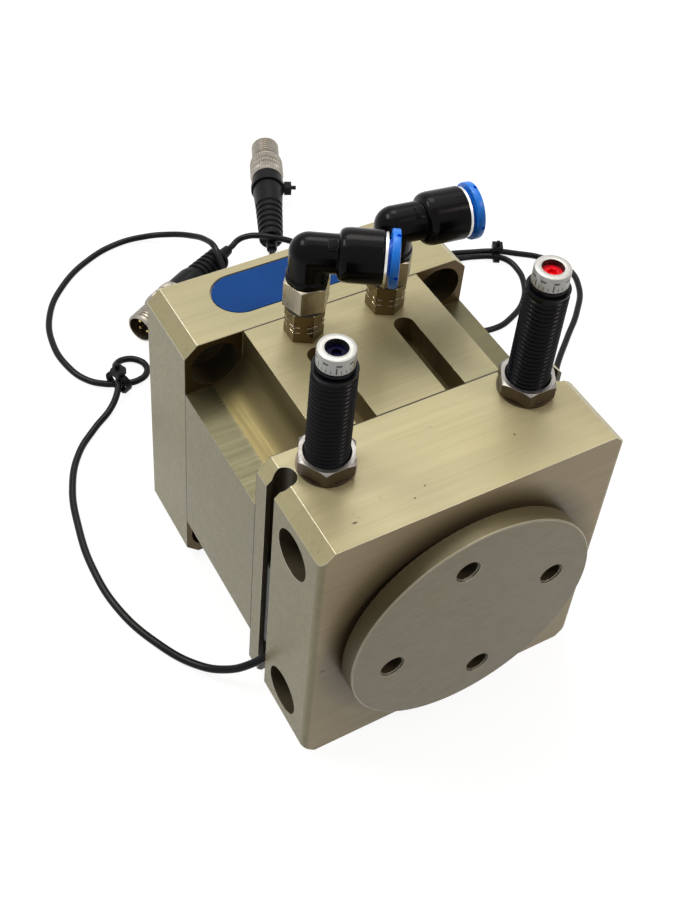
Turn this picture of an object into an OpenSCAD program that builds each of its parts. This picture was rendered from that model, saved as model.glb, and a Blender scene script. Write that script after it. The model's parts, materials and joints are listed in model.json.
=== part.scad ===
// Pneumatic vane swivel unit: output flange, two screw-in shock absorbers as end stops,
// two push-in elbow fittings and two slot-mounted proximity sensors with M12 leads.
// Millimetres. X runs to the right, Y to the rear and Z up.
// The origin is the middle of the base face; the output shaft turns about a line along Y.

/* [Body] */
// Width across the two side faces
body_w = 95; // [94:0.5:110]
// Height
body_h = 95; // [94:0.5:110]
// Thickness of the front block, which holds the stops
front_t = 35; // [34.8:0.1:42]
// Length of the middle housing, which holds the vane
mid_t = 45; // [42:0.5:70]
// Thickness of the rear plate
rear_t = 26.5; // [22:0.5:40]
// Leg of the 45 degree chamfer along the four long edges
edge_chamfer = 4; // [1:0.1:4.5]
// Rounding of the two upright front edges
nose_round = 2; // [0.5:0.1:4]

/* [Middle housing] */
// Width of the raised pads between the corner coves
pad_w = 58; // [56:0.5:60]
// Depth of each corner cove below the pad
cove_depth = 18; // [16:0.5:19]
// Radius of the concave corner at the foot of each pad wall
cove_round = 11; // [4:0.5:13]
// Distance of each sensor groove from the middle of the pad
groove_x = 14.3; // [13:0.1:15]
// Width of a sensor groove
groove_w = 6.4; // [4:0.1:7]
// Length of a sensor groove from the front block
groove_l = 30.5; // [20:0.5:31]
// Depth of a sensor groove
groove_depth = 8; // [3:0.5:9]
// Radius of the vane chamber
chamber_r = 27; // [26:0.1:28]
// Thickness of the wall in front of the vane chamber
wall_t = 6; // [5:0.5:10]

/* [Output shaft] */
// Radius of the output flange
flange_r = 38.9; // [36:0.1:44]
// Thickness of the output flange
flange_t = 5.7; // [4:0.1:10]
// Gap between the flange and the front block
flange_gap = 1.3; // [0.6:0.1:3]
// Pitch circle diameter of the tapped flange holes
flange_pcd = 52.4; // [46:0.2:62]
// Core radius of a tapped flange hole
flange_hole_r = 3.4; // [2.1:0.1:4]
// Angle of the first flange hole and of the whole shaft above the right side
shaft_angle = 12.4; // [9:0.1:15]
// Radius of the shaft in the shaft seal and the front bearing
spindle_r = 15; // [14.6:0.1:15.5]
// Radius of the shaft in the stop lever
lever_seat_r = 14; // [13.6:0.1:14.4]
// Radius of the shaft in the chamber wall
journal_r = 13; // [12.6:0.1:13.4]
// Radius of the shaft in the vane
vane_seat_r = 12; // [11:0.1:12.4]
// Radius of the shaft in the rear bearing
tail_r = 10; // [8:0.1:10.8]
// Width and height of the two drive keys
key_size = 5; // [4:0.1:5.6]

/* [Bearings and seals] */
// Outer radius of the front bearing
front_bearing_r = 27.5; // [24:0.1:28]
// Width of the front bearing
front_bearing_w = 13; // [11:0.1:13.6]
// Outer radius of the shaft seal
seal_r = 21; // [19:0.1:23]
// Width of the shaft seal
seal_w = 5.5; // [4:0.1:5.6]
// Outer radius of the rear bearing
rear_bearing_r = 21; // [18:0.1:24]
// Width of the rear bearing
rear_bearing_w = 12; // [9:0.1:14]
// Thickness of the sealing cords between shaft, wall and rear plate
o_ring_w = 1.8; // [1.2:0.1:2.2]

/* [Stop lever] */
// Radius of the space that the stop lever swings in
cavity_r = 36.5; // [35.5:0.1:36.8]
// Depth of that space behind the front wall of the block
cavity_depth = 14.5; // [14:0.1:14.7]
// Radius of the lever hub
lever_hub_r = 20; // [19:0.1:22]
// Width of each lever arm
arm_w = 12; // [9:0.2:12.4]
// Clearance between an arm and a resting stop rod at the end of the swing
stop_gap = 0.3; // [0.2:0.05:0.6]

/* [Vane] */
// Radius of the vane hub
vane_hub_r = 16; // [15:0.1:17]
// Thickness of the vane blade
blade_t = 10; // [7:0.2:12]
// Width of the sealing strip in the tip of the blade
strip_w = 2.4; // [1.6:0.1:3]
// Angle that the fixed chamber divider fills
divider_deg = 30; // [20:1:36]

/* [Shock absorbers] */
// Distance of each absorber from the middle plane
absorber_x = 31.7; // [31:0.1:32.2]
// Distance of the absorbers behind the front face
absorber_depth = 26.4; // [26.2:0.1:28]
// Thread radius of an absorber
absorber_r = 6; // [5.7:0.1:6.2]
// Height of the left adjuster top above the body
absorber_out = 42.9; // [30:0.1:50]
// How much higher the right absorber is set
stop_offset = 1.9; // [0:0.1:3]
// Width across the flats of the lock nut
nut_af = 15; // [14:0.1:17]
// Height of the lock nut
nut_h = 4.6; // [3.5:0.1:7]
// Thickness of the washer under the lock nut
washer_t = 0.8; // [0.4:0.1:1.5]
// Radius of the adjuster knob
knob_r = 5; // [4:0.05:5.1]
// Height of the adjuster knob
knob_h = 5; // [4:0.1:7]
// Radius of the recess in the adjuster knob
knob_bore_r = 2.9; // [2:0.1:3.4]
// Radius of the stop rod
rod_r = 2; // [1.5:0.1:2.5]
// Length of stop rod that stands out of the absorber
rod_out = 8.2; // [7.5:0.1:10]
// Radius of the button on the stop rod
button_r = 4; // [3:0.1:4.4]

/* [Sensors] */
// Distance of each sensor slot bore from the side face
sensor_edge = 4.1; // [3.7:0.05:4.3]
// Distance of the sensor slot behind the front face
sensor_depth = 27.15; // [26.5:0.05:28]
// Radius of the sensor barrel
sensor_r = 3.25; // [2.5:0.05:3.25]
// Radial clearance of the sensor in its bore
sensor_gap = 0.05; // [0.02:0.01:0.1]
// Length of the sensor barrel
sensor_l = 36; // [20:1:45]
// Width of the slot between bore and side face
slot_w = 4.5; // [3:0.1:5.4]

/* [Fittings] */
// Distance of each air port from the middle plane
port_x = 13.5; // [13.3:0.1:13.8]
// Distance of the air ports in front of the rear plate
port_back = 7.3; // [6.2:0.1:7.6]
// Core radius of a port thread
port_r = 4.85; // [4.4:0.05:4.9]
// Depth of a port thread
port_depth = 9; // [7:0.5:10]
// Width across the flats of the port adapter
adapter_af = 10; // [9.8:0.1:11]
// Height of the port adapter above the body
adapter_h = 10.8; // [9:0.1:14]
// Height of the sealing washer on the adapter
seal_h = 1.2; // [0.8:0.1:2]
// Width across the flats of the fitting stem
stem_af = 12; // [11:0.1:12.6]
// Height of the fitting stem hexagon
stem_h = 8.5; // [6:0.1:12]
// Radius of the pin that the elbow swivels on
swivel_r = 4; // [3.4:0.05:4.2]
// Outer radius of the elbow's upright part
elbow_r = 5.6; // [5.3:0.1:5.7]
// Outer radius of the elbow's neck
neck_r = 5.6; // [4.8:0.1:5.7]
// Outer radius of the rim at the elbow's foot
skirt_r = 6.1; // [5.8:0.1:6.4]
// Height of the elbow outlet above the stem hexagon
elbow_rise = 9.5; // [9:0.1:12]
// Outer radius of the tube socket
socket_r = 7.7; // [7.2:0.1:7.9]
// Distance from the swivel axis to the wide part of the socket
socket_start = 8; // [7:0.1:9]
// Length of the wide part of the socket
socket_l = 12.5; // [11:0.1:14]
// Outer radius of the release collar
collar_r = 8.3; // [7.8:0.1:8.4]
// Thickness of the collar's grip disc
collar_t = 2.4; // [1.6:0.1:3]
// Travel of the release collar
collar_travel = 0.8; // [0.4:0.1:0.9]
// Radius of the tube bore
tube_r = 4.05; // [3.5:0.05:4.2]

/* [Mounting holes] */
// Distance of the rear mounting holes from the four long faces
mount_edge = 9.5; // [9.3:0.1:10.5]
// Radius of a rear mounting hole
mount_r = 4.5; // [3.3:0.1:5.5]
// Counterbore radius of a rear mounting hole
mount_head_r = 7.75; // [6.5:0.05:8]
// Counterbore depth of a rear mounting hole
mount_head_depth = 9; // [5:0.5:14]
// Distance of the side mounting holes behind the front face
side_depth = 14.1; // [13.6:0.1:15]
// Distance of the side mounting holes from the base and the top
side_edge = 15; // [13.5:0.5:15.5]
// Radius of a side mounting hole
side_r = 4.2; // [3:0.1:4.4]
// Counterbore radius of a side mounting hole
side_head_r = 7.4; // [6:0.1:7.5]
// Counterbore depth of a side mounting hole
side_head_depth = 9; // [5:0.5:10]
// Distance of the tie screws from the upright walls of the pads
tie_inset = 7; // [6.5:0.1:7.3]
// Distance of the tie screws from the base and the top
tie_edge = 8; // [6.5:0.1:9]
// Thread radius of a tie screw
tie_r = 2.5; // [2:0.1:2.6]
// Head radius of a tie screw
tie_head_r = 4.25; // [3.6:0.05:4.6]

/* [Nameplate] */
// Length of the nameplate recess
name_l = 63.2; // [40:0.2:80]
// Width of the nameplate recess
name_w = 17; // [10:0.2:19]
// Depth of the nameplate recess
name_depth = 0.6; // [0.4:0.1:1.2]
// Distance of the nameplate's middle from the rear face
name_back = 11.5; // [10.5:0.1:13]
// Clearance round the nameplate
name_gap = 0.35; // [0.2:0.05:0.6]

/* [Leads] */
// Radius of a sensor lead
cable_r = 1.25; // [1:0.05:1.3]
// Radius of the knurled part of a plug's coupling ring
ring_r = 7.1; // [6.6:0.05:7.15]
// Length of the knurled part
ring_l = 12; // [8:0.5:16]
// Thread radius of a coupling ring
ring_thread_r = 5.9; // [5.2:0.1:6.2]
// Length of the threaded part
ring_thread_l = 11; // [8:0.5:14]
// Largest radius of a plug's moulded body
plug_r = 6.3; // [5.6:0.1:6.4]
// Number of ribs on a plug's moulded body
plug_ribs = 6; // [4:1:8]

/* [Hidden] */
$fn = 64;

// Stations along Y
front_y = -(front_t + mid_t + rear_t) / 2;
seam_front = front_y + front_t;
seam_rear = seam_front + mid_t;
rear_y = seam_rear + rear_t;
cavity_y = seam_front - cavity_depth;
chamber_y = seam_front + wall_t;
flange_back = front_y - flange_gap;
flange_front = flange_back - flange_t;
absorber_y = front_y + absorber_depth;
sensor_y = front_y + sensor_depth;
port_y = seam_rear - port_back;
name_y = rear_y - name_back;

// Shaft and what sits on it
axis_z = body_h / 2;
far = 200;
through = 1;
clear = 0.05;
seal_front = 0.3;
bearing_y = cavity_y - 1.5 - front_bearing_w;
bearing_back = cavity_y - 1.5;
lever_front = cavity_y + 0.5;
lever_back = seam_front - 1.5;
lever_seat_y = bearing_back;
vane_front = chamber_y + 0.2;
vane_back = seam_rear - 0.2;
tail_y = seam_rear + rear_bearing_w;
arm_r = cavity_r - 0.5;
blade_r = chamber_r - 0.5;
strip_r = chamber_r - 0.1;
strip_foot = blade_r - 2.2;
arm_angles = [shaft_angle - 90, shaft_angle - 180];
blade_angle = shaft_angle - 135;
key_angle = shaft_angle + 45;

// Shock absorbers
sides = [-1, 1];
absorber_bore_r = absorber_r + clear;
rod_tip_z = axis_z + arm_w / 2 + stop_gap;
absorber_foot = rod_tip_z + rod_out;
absorber_drill_z = rod_tip_z - 2;
absorber_top = body_h + absorber_out - knob_h;
piston_r = absorber_r - 1.8;
piston_z = absorber_foot + 5;
piston_t = 5;
stroke = 6;
button_t = 2;

// Sensors
sensor_x = body_w / 2 - sensor_edge;
sensor_foot = 20;
sensor_neck = 2;
sensor_neck_r = 2;

// Screw holes
face_ring_r = chamber_r + 3;
tie_seat_y = rear_y - 6;
tie_x = pad_w / 2 - tie_inset;
tie_z = body_h / 2 - tie_edge;
mount_x = body_w / 2 - mount_edge;
mount_z = body_h / 2 - mount_edge;
side_z = body_h / 2 - side_edge;

// Fittings
elbow_turn = [-32, -8.7];
stem_z = body_h + adapter_h + seal_h;
elbow_z = stem_z + stem_h;
outlet_z = elbow_z + elbow_rise;
swivel_gap = 0.05;
swivel_top = elbow_z + 5.5;
air_r = 2.2;
elbow_air_r = 2.8;
spigot_r = 3.9;
spigot_l = 6.5;
socket_end = socket_start + socket_l;
mouth_ring_t = 0.7;
sleeve_r = tube_r + 1.1;
sleeve_start = socket_end - 6;
collar_start = socket_end + mouth_ring_t + collar_travel + 0.1;

// Leads and plugs: [x, y] of the cable end, axis angle, length of the moulded body
plug_z = 7.2;
plug_at = [[44, 144], [28, 151.5]];
plug_turn = [65.3, 208.5];
plug_body_l = [46, 34];
// Length of the smooth front of a plug's moulded body
plug_smooth_l = [19, 12];
relief_l = 6;
relief_r = [2, 2.6];
tie_t = 0.8;
tie_w = 2.4;

route_left = [
    [-50.4, -25.2, 10.9], [-56.5, -20.6, 5.6], [-63, -13, 2.2], [-70.5, 0, 1.4], [-76, 16, 1.3],
    [-77.5, 34, 1.3], [-75.5, 52, 1.3], [-71, 69, 1.3], [-63.5, 82, 1.3], [-54, 90.5, 1.4],
    [-46, 96, 2], [-41.3, 100.8, 3.6], [-38.4, 106.2, 4.9], [-37.2, 111.2, 3.9], [-35.9, 115.2, 2.6],
    [-31.6, 117.2, 1.6], [-27.4, 115.1, 1.4], [-25.7, 110.9, 1.4], [-27.3, 106.9, 1.6],
    [-31, 104.9, 1.9], [-35.2, 104.9, 2.1], [-38.6, 106, 2.2], [-43, 108.4, 1.9], [-48, 113.5, 1.4],
    [-51.8, 123, 1.3], [-52.5, 137, 1.3], [-48, 152, 1.3], [-38, 165, 1.3], [-23, 175.5, 1.3],
    [-8, 180, 1.4], [3, 178.4, 2.3], [11.5, 172.5, 5], [17.2, 163.5, 9.2], [19.6, 154.6, 13],
    [20, 147.5, 14.6], [19.4, 140.4, 12.2], [19.2, 132.6, 7.2], [21.6, 125.8, 3.2],
    [26.6, 121.6, 1.8], [32.6, 122.6, 2.2], [37.6, 128.2, 4]
];
route_right = [
    [50.4, -25.2, 10.9], [57, -20.6, 5.2], [65, -12.8, 2.1], [82, 6, 1.4], [98, 25, 1.3],
    [114, 43, 1.3], [128, 55, 1.3], [140, 65, 1.3], [150, 77, 1.3], [152.5, 88, 1.3],
    [146.5, 98.5, 1.3], [138, 105, 1.6], [130.7, 109, 2.3], [122, 113.3, 1.6], [110, 117, 1.3],
    [98, 115.5, 1.3], [89, 108, 1.3], [85.5, 97, 1.3], [87.5, 84, 1.3], [95, 74.5, 1.3],
    [105, 71.5, 1.3], [115, 74, 1.3], [124.5, 80, 1.3], [131, 89, 1.3], [133.2, 97, 1.4],
    [132.2, 102.6, 1.9], [128.8, 106, 2.3], [122, 110.2, 1.6], [113, 112.2, 2],
    [104, 112.6, 3.2], [94.5, 112.6, 4.2], [85, 115, 3], [76, 121.4, 2.2], [67, 131, 3],
    [59, 138.8, 6], [51.6, 143.6, 9.6], [45.4, 146.6, 11.2], [41.4, 150, 11],
    [37.5, 153, 9.8], [33.8, 154.1, 8.3]
];

champagne = "#b5ae88";
steel = "#8a8378";
nickel = "#c3b8a4";
black = "#1b1b1d";
blue = "#1f6fd6";

// ---------------------------------------------------------------- helpers

// An outline drawn as [x, z], extruded along Y from y0 to y1
module slab_y(y0, y1) {
    translate([0, y1, 0]) rotate([90, 0, 0]) linear_extrude(y1 - y0) children();
}

// A cylinder along Y
module rod_y(x, z, r, y0, y1) {
    translate([x, y0, z]) rotate([-90, 0, 0]) cylinder(h = y1 - y0, r = r);
}

// A cylinder along Z
module rod_z(x, y, r, z0, z1) {
    translate([x, y, z0]) cylinder(h = z1 - z0, r = r);
}

// A tube along Y round the shaft axis
module tube_y(outer, inner, y0, y1) {
    difference() {
        rod_y(0, axis_z, outer, y0, y1);
        rod_y(0, axis_z, inner, y0 - through, y1 + through);
    }
}

// A profile of [radius, y] points turned about the shaft axis
module turned_y(profile) {
    translate([0, 0, axis_z]) rotate([-90, 0, 0]) rotate_extrude() polygon(profile);
}

// Children drawn with the shaft's radius along +X, turned to an angle above the right side
module at_angle(angle) {
    translate([0, 0, axis_z]) rotate([0, -angle, 0]) children();
}

// Outline of the front block and the rear plate, as [x, z]
module body_outline() {
    w = body_w / 2;
    c = edge_chamfer;
    polygon([
        [-w + c, 0], [w - c, 0], [w, c], [w, body_h - c],
        [w - c, body_h], [-w + c, body_h], [-w, body_h - c], [-w, c]
    ]);
}

// Hexagonal prism with its flats af apart and chamfered upper corners
module hexagon(af, h, bevel = 0.8) {
    corner_r = af / 2 / cos(30);
    intersection() {
        cylinder(h = h, r = corner_r, $fn = 6);
        rotate_extrude() polygon([
            [0, 0], [corner_r, 0], [corner_r, h - bevel * 0.6],
            [corner_r - bevel, h], [0, h]
        ]);
    }
}

// A socket-head screw along +Y, with its head seat at y = 0 and its head behind it
module cap_screw(shank_l) {
    head_h = 5;
    hex_r = tie_r * 0.92;
    difference() {
        union() {
            rotate([90, 0, 0]) cylinder(h = shank_l, r = tie_r);
            rotate([-90, 0, 0]) cylinder(h = head_h, r = tie_head_r);
        }
        translate([0, head_h - 2.6, 0]) rotate([-90, 0, 0]) cylinder(h = far, r = hex_r, $fn = 6);
    }
}

module tie_places() {
    for (x = sides) for (z = sides)
        translate([x * tie_x, 0, axis_z + z * tie_z]) children();
}

// ---------------------------------------------------------------- housing

module front_block() {
    w = body_w / 2;
    color(champagne) difference() {
        intersection() {
            slab_y(front_y, seam_front) body_outline();
            linear_extrude(body_h) block_plan(w);
        }
        rod_y(0, axis_z, seal_r, front_y - through, bearing_y + clear);
        rod_y(0, axis_z, front_bearing_r, bearing_y, cavity_y + through);
        rod_y(0, axis_z, cavity_r, cavity_y, seam_front + through);
        for (side = sides) {
            rod_z(side * absorber_x, absorber_y, absorber_bore_r, absorber_drill_z, body_h + through);
            sensor_slot(side);
        }
        for (z = sides) side_hole(axis_z + z * side_z);
        tie_places() rod_y(0, 0, tie_r, seam_front - 12, seam_front + through);
    }
}

// Plan of the front block, with rounded front corners
module block_plan(w) {
    translate([-w, front_y + nose_round]) square([2 * w, front_t]);
    translate([-w + nose_round, front_y]) square([2 * (w - nose_round), front_t]);
    for (side = sides) translate([side * (w - nose_round), front_y + nose_round]) circle(nose_round);
}

module sensor_slot(side) {
    rod_z(side * sensor_x, sensor_y, sensor_r + sensor_gap, -through, body_h + through);
    translate([side * (sensor_x + far / 2), sensor_y, body_h / 2])
        cube([far, slot_w, body_h + 2 * through], center = true);
}

module side_hole(z) {
    translate([0, front_y + side_depth, z]) rotate([0, 90, 0]) {
        cylinder(h = far, r = side_r, center = true);
        for (side = sides) translate([0, 0, side * (body_w / 2 - side_head_depth + far / 2)])
            cylinder(h = far, r = side_head_r, center = true);
    }
}

module cove(x_side, z_side) {
    x = pad_w / 2;
    z = body_h / 2 - cove_depth;
    scale([x_side, z_side]) {
        translate([x + cove_round, z]) square(far);
        translate([x, z + cove_round]) square(far);
        translate([x + cove_round, z + cove_round]) circle(cove_round);
    }
}

module middle_housing() {
    color(champagne) difference() {
        slab_y(seam_front, seam_rear) difference() {
            translate([-body_w / 2, 0]) square([body_w, body_h]);
            for (x = sides) for (z = sides) translate([0, axis_z]) cove(x, z);
        }
        rod_y(0, axis_z, journal_r + clear, seam_front - through, chamber_y + through);
        rod_y(0, axis_z, journal_r + o_ring_w, chamber_y - 2 - o_ring_w, chamber_y - 2);
        rod_y(0, axis_z, chamber_r, chamber_y, seam_rear + through);
        tie_places() rod_y(0, 0, tie_r + 0.25, seam_front - through, seam_rear + through);
        for (side = sides) {
            sensor_groove(side * groove_x);
            rod_z(side * port_x, port_y, port_r, body_h - port_depth, body_h + through);
            rod_z(side * port_x, port_y, air_r, axis_z + chamber_r - 8, body_h);
        }
    }
}

module sensor_groove(x) {
    end_y = seam_front + groove_l - groove_w / 2;
    translate([0, 0, body_h - groove_depth]) linear_extrude(far) {
        translate([x - groove_w / 2, seam_front - through])
            square([groove_w, end_y - seam_front + through]);
        translate([x, end_y]) circle(groove_w / 2);
    }
}

module rear_plate() {
    color(champagne) difference() {
        slab_y(seam_rear, rear_y) body_outline();
        rod_y(0, axis_z, rear_bearing_r, seam_rear - through, tail_y);
        rod_y(0, axis_z, tail_r + 4, tail_y - through, tail_y + 2);
        tube_y(face_ring_r + o_ring_w / 2, face_ring_r - o_ring_w / 2,
            seam_rear - through, seam_rear + o_ring_w);
        for (x = sides) for (z = sides) mount_hole(x * mount_x, axis_z + z * mount_z);
        tie_places() {
            rod_y(0, 0, tie_r + 0.25, seam_rear - through, rear_y + through);
            rod_y(0, 0, tie_head_r + 0.35, tie_seat_y, rear_y + through);
        }
        translate([0, name_y, body_h - name_depth]) linear_extrude(far) stadium(name_l, name_w);
    }
}

module mount_hole(x, z) {
    rod_y(x, z, mount_r, seam_rear - through, rear_y + through);
    rod_y(x, z, mount_head_r, seam_rear - through, seam_rear + mount_head_depth);
}

module stadium(l, w) {
    square([l - w, w], center = true);
    for (side = sides) translate([side * (l - w) / 2, 0]) circle(w / 2);
}

module nameplate() {
    thickness = name_depth - 0.1;
    color("#20497f") translate([0, name_y, body_h - name_depth])
        linear_extrude(thickness) stadium(name_l - 2 * name_gap, name_w - 2 * name_gap);
}

module tie_screws() {
    color(steel) tie_places() translate([0, tie_seat_y, 0]) cap_screw(tie_seat_y - seam_front + 11);
}

// ---------------------------------------------------------------- shaft and vane

module output_flange() {
    edge = 0.3;
    rim = 0.6;
    color(champagne) difference() {
        turned_y([
            [0, flange_front], [flange_r - edge, flange_front], [flange_r, flange_front + edge],
            [flange_r, flange_back - rim], [flange_r - rim, flange_back],
            [spindle_r, flange_back], [spindle_r, bearing_back],
            [lever_seat_r, bearing_back], [lever_seat_r, seam_front - 0.5],
            [journal_r, seam_front - 0.5], [journal_r, chamber_y],
            [vane_seat_r, chamber_y], [vane_seat_r, seam_rear],
            [tail_r, seam_rear], [tail_r, tail_y], [0, tail_y]
        ]);
        for (i = [0 : 3]) at_angle(shaft_angle + 90 * i) flange_hole();
        at_angle(key_angle) key_blocks();
    }
}

module flange_hole() {
    countersink = 0.5;
    translate([flange_pcd / 2, 0, 0]) {
        rod_y(0, 0, flange_hole_r, flange_front - through, flange_back + through);
        rod_y(0, 0, flange_hole_r + countersink, flange_front - through, flange_front + countersink);
    }
}

// One key in the lever seat and one in the vane seat
module key_blocks() {
    translate([lever_seat_r - key_size / 2, lever_front + 1, -key_size / 2])
        cube([key_size, lever_back - lever_front - 2, key_size]);
    translate([vane_seat_r - key_size / 2, vane_front + 6, -key_size / 2])
        cube([key_size, vane_back - vane_front - 12, key_size]);
}

module drive_keys() {
    color(steel) at_angle(key_angle) key_blocks();
}

module stop_lever() {
    color(steel) difference() {
        union() {
            slab_y(lever_front, lever_back) translate([0, axis_z]) lever_outline();
            rod_y(0, axis_z, lever_seat_r + 3, bearing_back + 0.2, lever_front + clear);
        }
        rod_y(0, axis_z, lever_seat_r, front_y, seam_front);
        at_angle(key_angle) key_blocks();
    }
}

// Two stop arms square to each other with a web between them, as [x, z] round the shaft
module lever_outline() {
    web_r = 27;
    intersection() {
        circle(arm_r);
        union() {
            circle(lever_hub_r);
            for (a = arm_angles) rotate(a) translate([0, -arm_w / 2]) square([far, arm_w]);
            polygon([
                [0, 0],
                [web_r * cos(arm_angles[0]), web_r * sin(arm_angles[0])],
                [web_r * cos(arm_angles[1]), web_r * sin(arm_angles[1])]
            ]);
        }
    }
}

module vane() {
    color(steel) difference() {
        union() {
            rod_y(0, axis_z, vane_hub_r, vane_front, vane_back);
            at_angle(blade_angle) intersection() {
                translate([0, vane_front, -blade_t / 2]) cube([far, vane_back - vane_front, blade_t]);
                rod_y(0, 0, blade_r, vane_front, vane_back);
            }
        }
        rod_y(0, axis_z, vane_seat_r, seam_front, rear_y);
        at_angle(key_angle) key_blocks();
        at_angle(blade_angle) translate([strip_foot, vane_front - through, -strip_w / 2])
            cube([far, far, strip_w]);
    }
}

module vane_strip() {
    color(black) at_angle(blade_angle) intersection() {
        translate([strip_foot, vane_front, -strip_w / 2])
            cube([far, vane_back - vane_front, strip_w]);
        rod_y(0, 0, strip_r, vane_front, vane_back);
    }
}

module chamber_divider() {
    reach = 60;
    half = divider_deg / 2;
    color(champagne) slab_y(chamber_y + clear, seam_rear - clear) translate([0, axis_z])
        intersection() {
            difference() {
                circle(chamber_r);
                circle(vane_hub_r + 0.3);
            }
            polygon([[0, 0], [-reach * tan(half), reach], [reach * tan(half), reach]]);
        }
}

// A rolling bearing with a recessed shield on each side
module bearing(outer, inner, y0, y1) {
    lip = (outer - inner) * 0.26;
    sunk = 0.5;
    color(steel) turned_y([
        [inner, y0], [inner + lip, y0], [inner + lip, y0 + sunk], [outer - lip, y0 + sunk],
        [outer - lip, y0], [outer, y0], [outer, y1], [outer - lip, y1], [outer - lip, y1 - sunk],
        [inner + lip, y1 - sunk], [inner + lip, y1], [inner, y1]
    ]);
}

module front_bearing() {
    bearing(front_bearing_r, spindle_r + 0.02, bearing_y, bearing_back);
}

module rear_bearing() {
    bearing(rear_bearing_r, tail_r + 0.02, seam_rear + 0.1, tail_y);
}

module shaft_seal() {
    y0 = front_y + seal_front;
    y1 = y0 + seal_w;
    lip = spindle_r + clear;
    color(black) turned_y([
        [lip + 0.6, y0], [seal_r, y0], [seal_r, y1], [seal_r - 1.5, y1], [seal_r - 1.5, y0 + 1.6],
        [lip + 1.8, y0 + 1.6], [lip + 1.4, y1 - 1], [lip, y1 - 1.8], [lip + 0.6, y0 + 1.2]
    ]);
}

module sealing_rings() {
    color(black) {
        turned_y([
            [journal_r + clear, chamber_y - 2 - o_ring_w], [journal_r + o_ring_w, chamber_y - 2 - o_ring_w],
            [journal_r + o_ring_w, chamber_y - 2], [journal_r + clear, chamber_y - 2]
        ]);
        tube_y(face_ring_r + o_ring_w / 2, face_ring_r - o_ring_w / 2, seam_rear, seam_rear + o_ring_w);
    }
}

// ---------------------------------------------------------------- shock absorbers

// Children placed on the axis of one absorber, at its own height setting
module at_absorber(side) {
    translate([side * absorber_x, absorber_y, side > 0 ? stop_offset : 0]) children();
}

module absorber(side) {
    neck_h = 1.4;
    color(black) at_absorber(side) difference() {
        union() {
            rod_z(0, 0, absorber_r, absorber_foot, absorber_top - neck_h);
            rod_z(0, 0, knob_r + 0.2, absorber_foot, absorber_top);
        }
        rod_z(0, 0, rod_r + clear, absorber_foot - through, absorber_top - 3);
        rod_z(0, 0, piston_r, piston_z, piston_z + piston_t + 36);
        rod_z(0, 0, knob_bore_r, absorber_top - 2, absorber_top + through);
    }
}

module lock_nut(side) {
    color(steel) translate([side * absorber_x, absorber_y, body_h + washer_t]) difference() {
        intersection() {
            hexagon(nut_af, nut_h, 1);
            mirror([0, 0, 1]) translate([0, 0, -nut_h]) hexagon(nut_af, nut_h, 0.6);
        }
        translate([0, 0, -through]) cylinder(h = nut_h + 2 * through, r = absorber_r);
        translate([0, 0, nut_h - 0.5]) cylinder(h = through, r1 = absorber_r, r2 = absorber_r + 1);
    }
}

module nut_washers() {
    color(steel) for (side = sides)
        translate([side * absorber_x, absorber_y, body_h]) difference() {
            cylinder(h = washer_t, r = nut_af / 2 + 0.6);
            translate([0, 0, -through]) cylinder(h = washer_t + 2 * through, r = absorber_r);
        }
}

module knob(side) {
    edge = 0.3;
    floor_h = 1.8;
    color("#d9d9d6") at_absorber(side) translate([0, 0, absorber_top]) rotate_extrude() polygon([
        [0, 0], [knob_r, 0], [knob_r, knob_h - edge], [knob_r - edge, knob_h],
        [knob_bore_r + edge, knob_h], [knob_bore_r, knob_h - edge], [knob_bore_r, floor_h], [0, floor_h]
    ]);
}

// Coloured plug with the adjuster's hexagon socket, in the floor of the knob's recess
module knob_insert(side) {
    color(side > 0 ? "#c01020" : "#141c4c") at_absorber(side)
        translate([0, 0, absorber_top + 1.8]) difference() {
            cylinder(h = 1.4, r = knob_bore_r - 0.05);
            translate([0, 0, 0.4]) cylinder(h = 2, r = 1.45, $fn = 6);
        }
}

module stop_rod(side) {
    edge = 0.4;
    color("silver") at_absorber(side) translate([0, 0, rod_tip_z]) {
        rotate_extrude() polygon([
            [0, 0], [button_r - edge, 0], [button_r, edge], [button_r, button_t], [rod_r, button_t],
            [rod_r, piston_z + 0.3 - rod_tip_z], [piston_r - 0.1, piston_z + 0.3 - rod_tip_z],
            [piston_r - 0.1, piston_z + piston_t - rod_tip_z], [0, piston_z + piston_t - rod_tip_z]
        ]);
    }
}

// ---------------------------------------------------------------- air fittings

module at_port(side) {
    translate([side * port_x, port_y, 0]) children();
}

module port_adapter(side) {
    thread_l = port_depth - 1;
    corner_r = adapter_af / 2 / cos(30);
    notch = 0.7;
    color(nickel) at_port(side) difference() {
        union() {
            translate([0, 0, body_h]) rotate([0, 0, -31]) hexagon(adapter_af, adapter_h);
            rod_z(0, 0, port_r - clear, body_h - thread_l, body_h + clear);
        }
        rod_z(0, 0, spigot_r + clear, stem_z - spigot_l, stem_z);
        rod_z(0, 0, air_r, body_h - thread_l - through, stem_z);
        for (z = [0.34, 0.52]) translate([0, 0, body_h + z * adapter_h])
            difference() {
                cylinder(h = 0.9, r = corner_r + through);
                translate([0, 0, -through]) cylinder(h = 3, r = corner_r - notch);
            }
    }
}

module adapter_seals() {
    color(black) for (side = sides) at_port(side) difference() {
        rod_z(0, 0, adapter_af / 2 + 0.9, body_h + adapter_h, stem_z);
        rod_z(0, 0, spigot_r, body_h, stem_z + through);
    }
}

module fitting_stem(side) {
    color(nickel) at_port(side) difference() {
        union() {
            translate([0, 0, stem_z]) rotate([0, 0, -71]) hexagon(stem_af, stem_h);
            rod_z(0, 0, spigot_r, stem_z - spigot_l, stem_z + clear);
            rod_z(0, 0, swivel_r, elbow_z - clear, swivel_top);
        }
        rod_z(0, 0, air_r, stem_z - spigot_l - through, swivel_top + through);
    }
}

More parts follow.
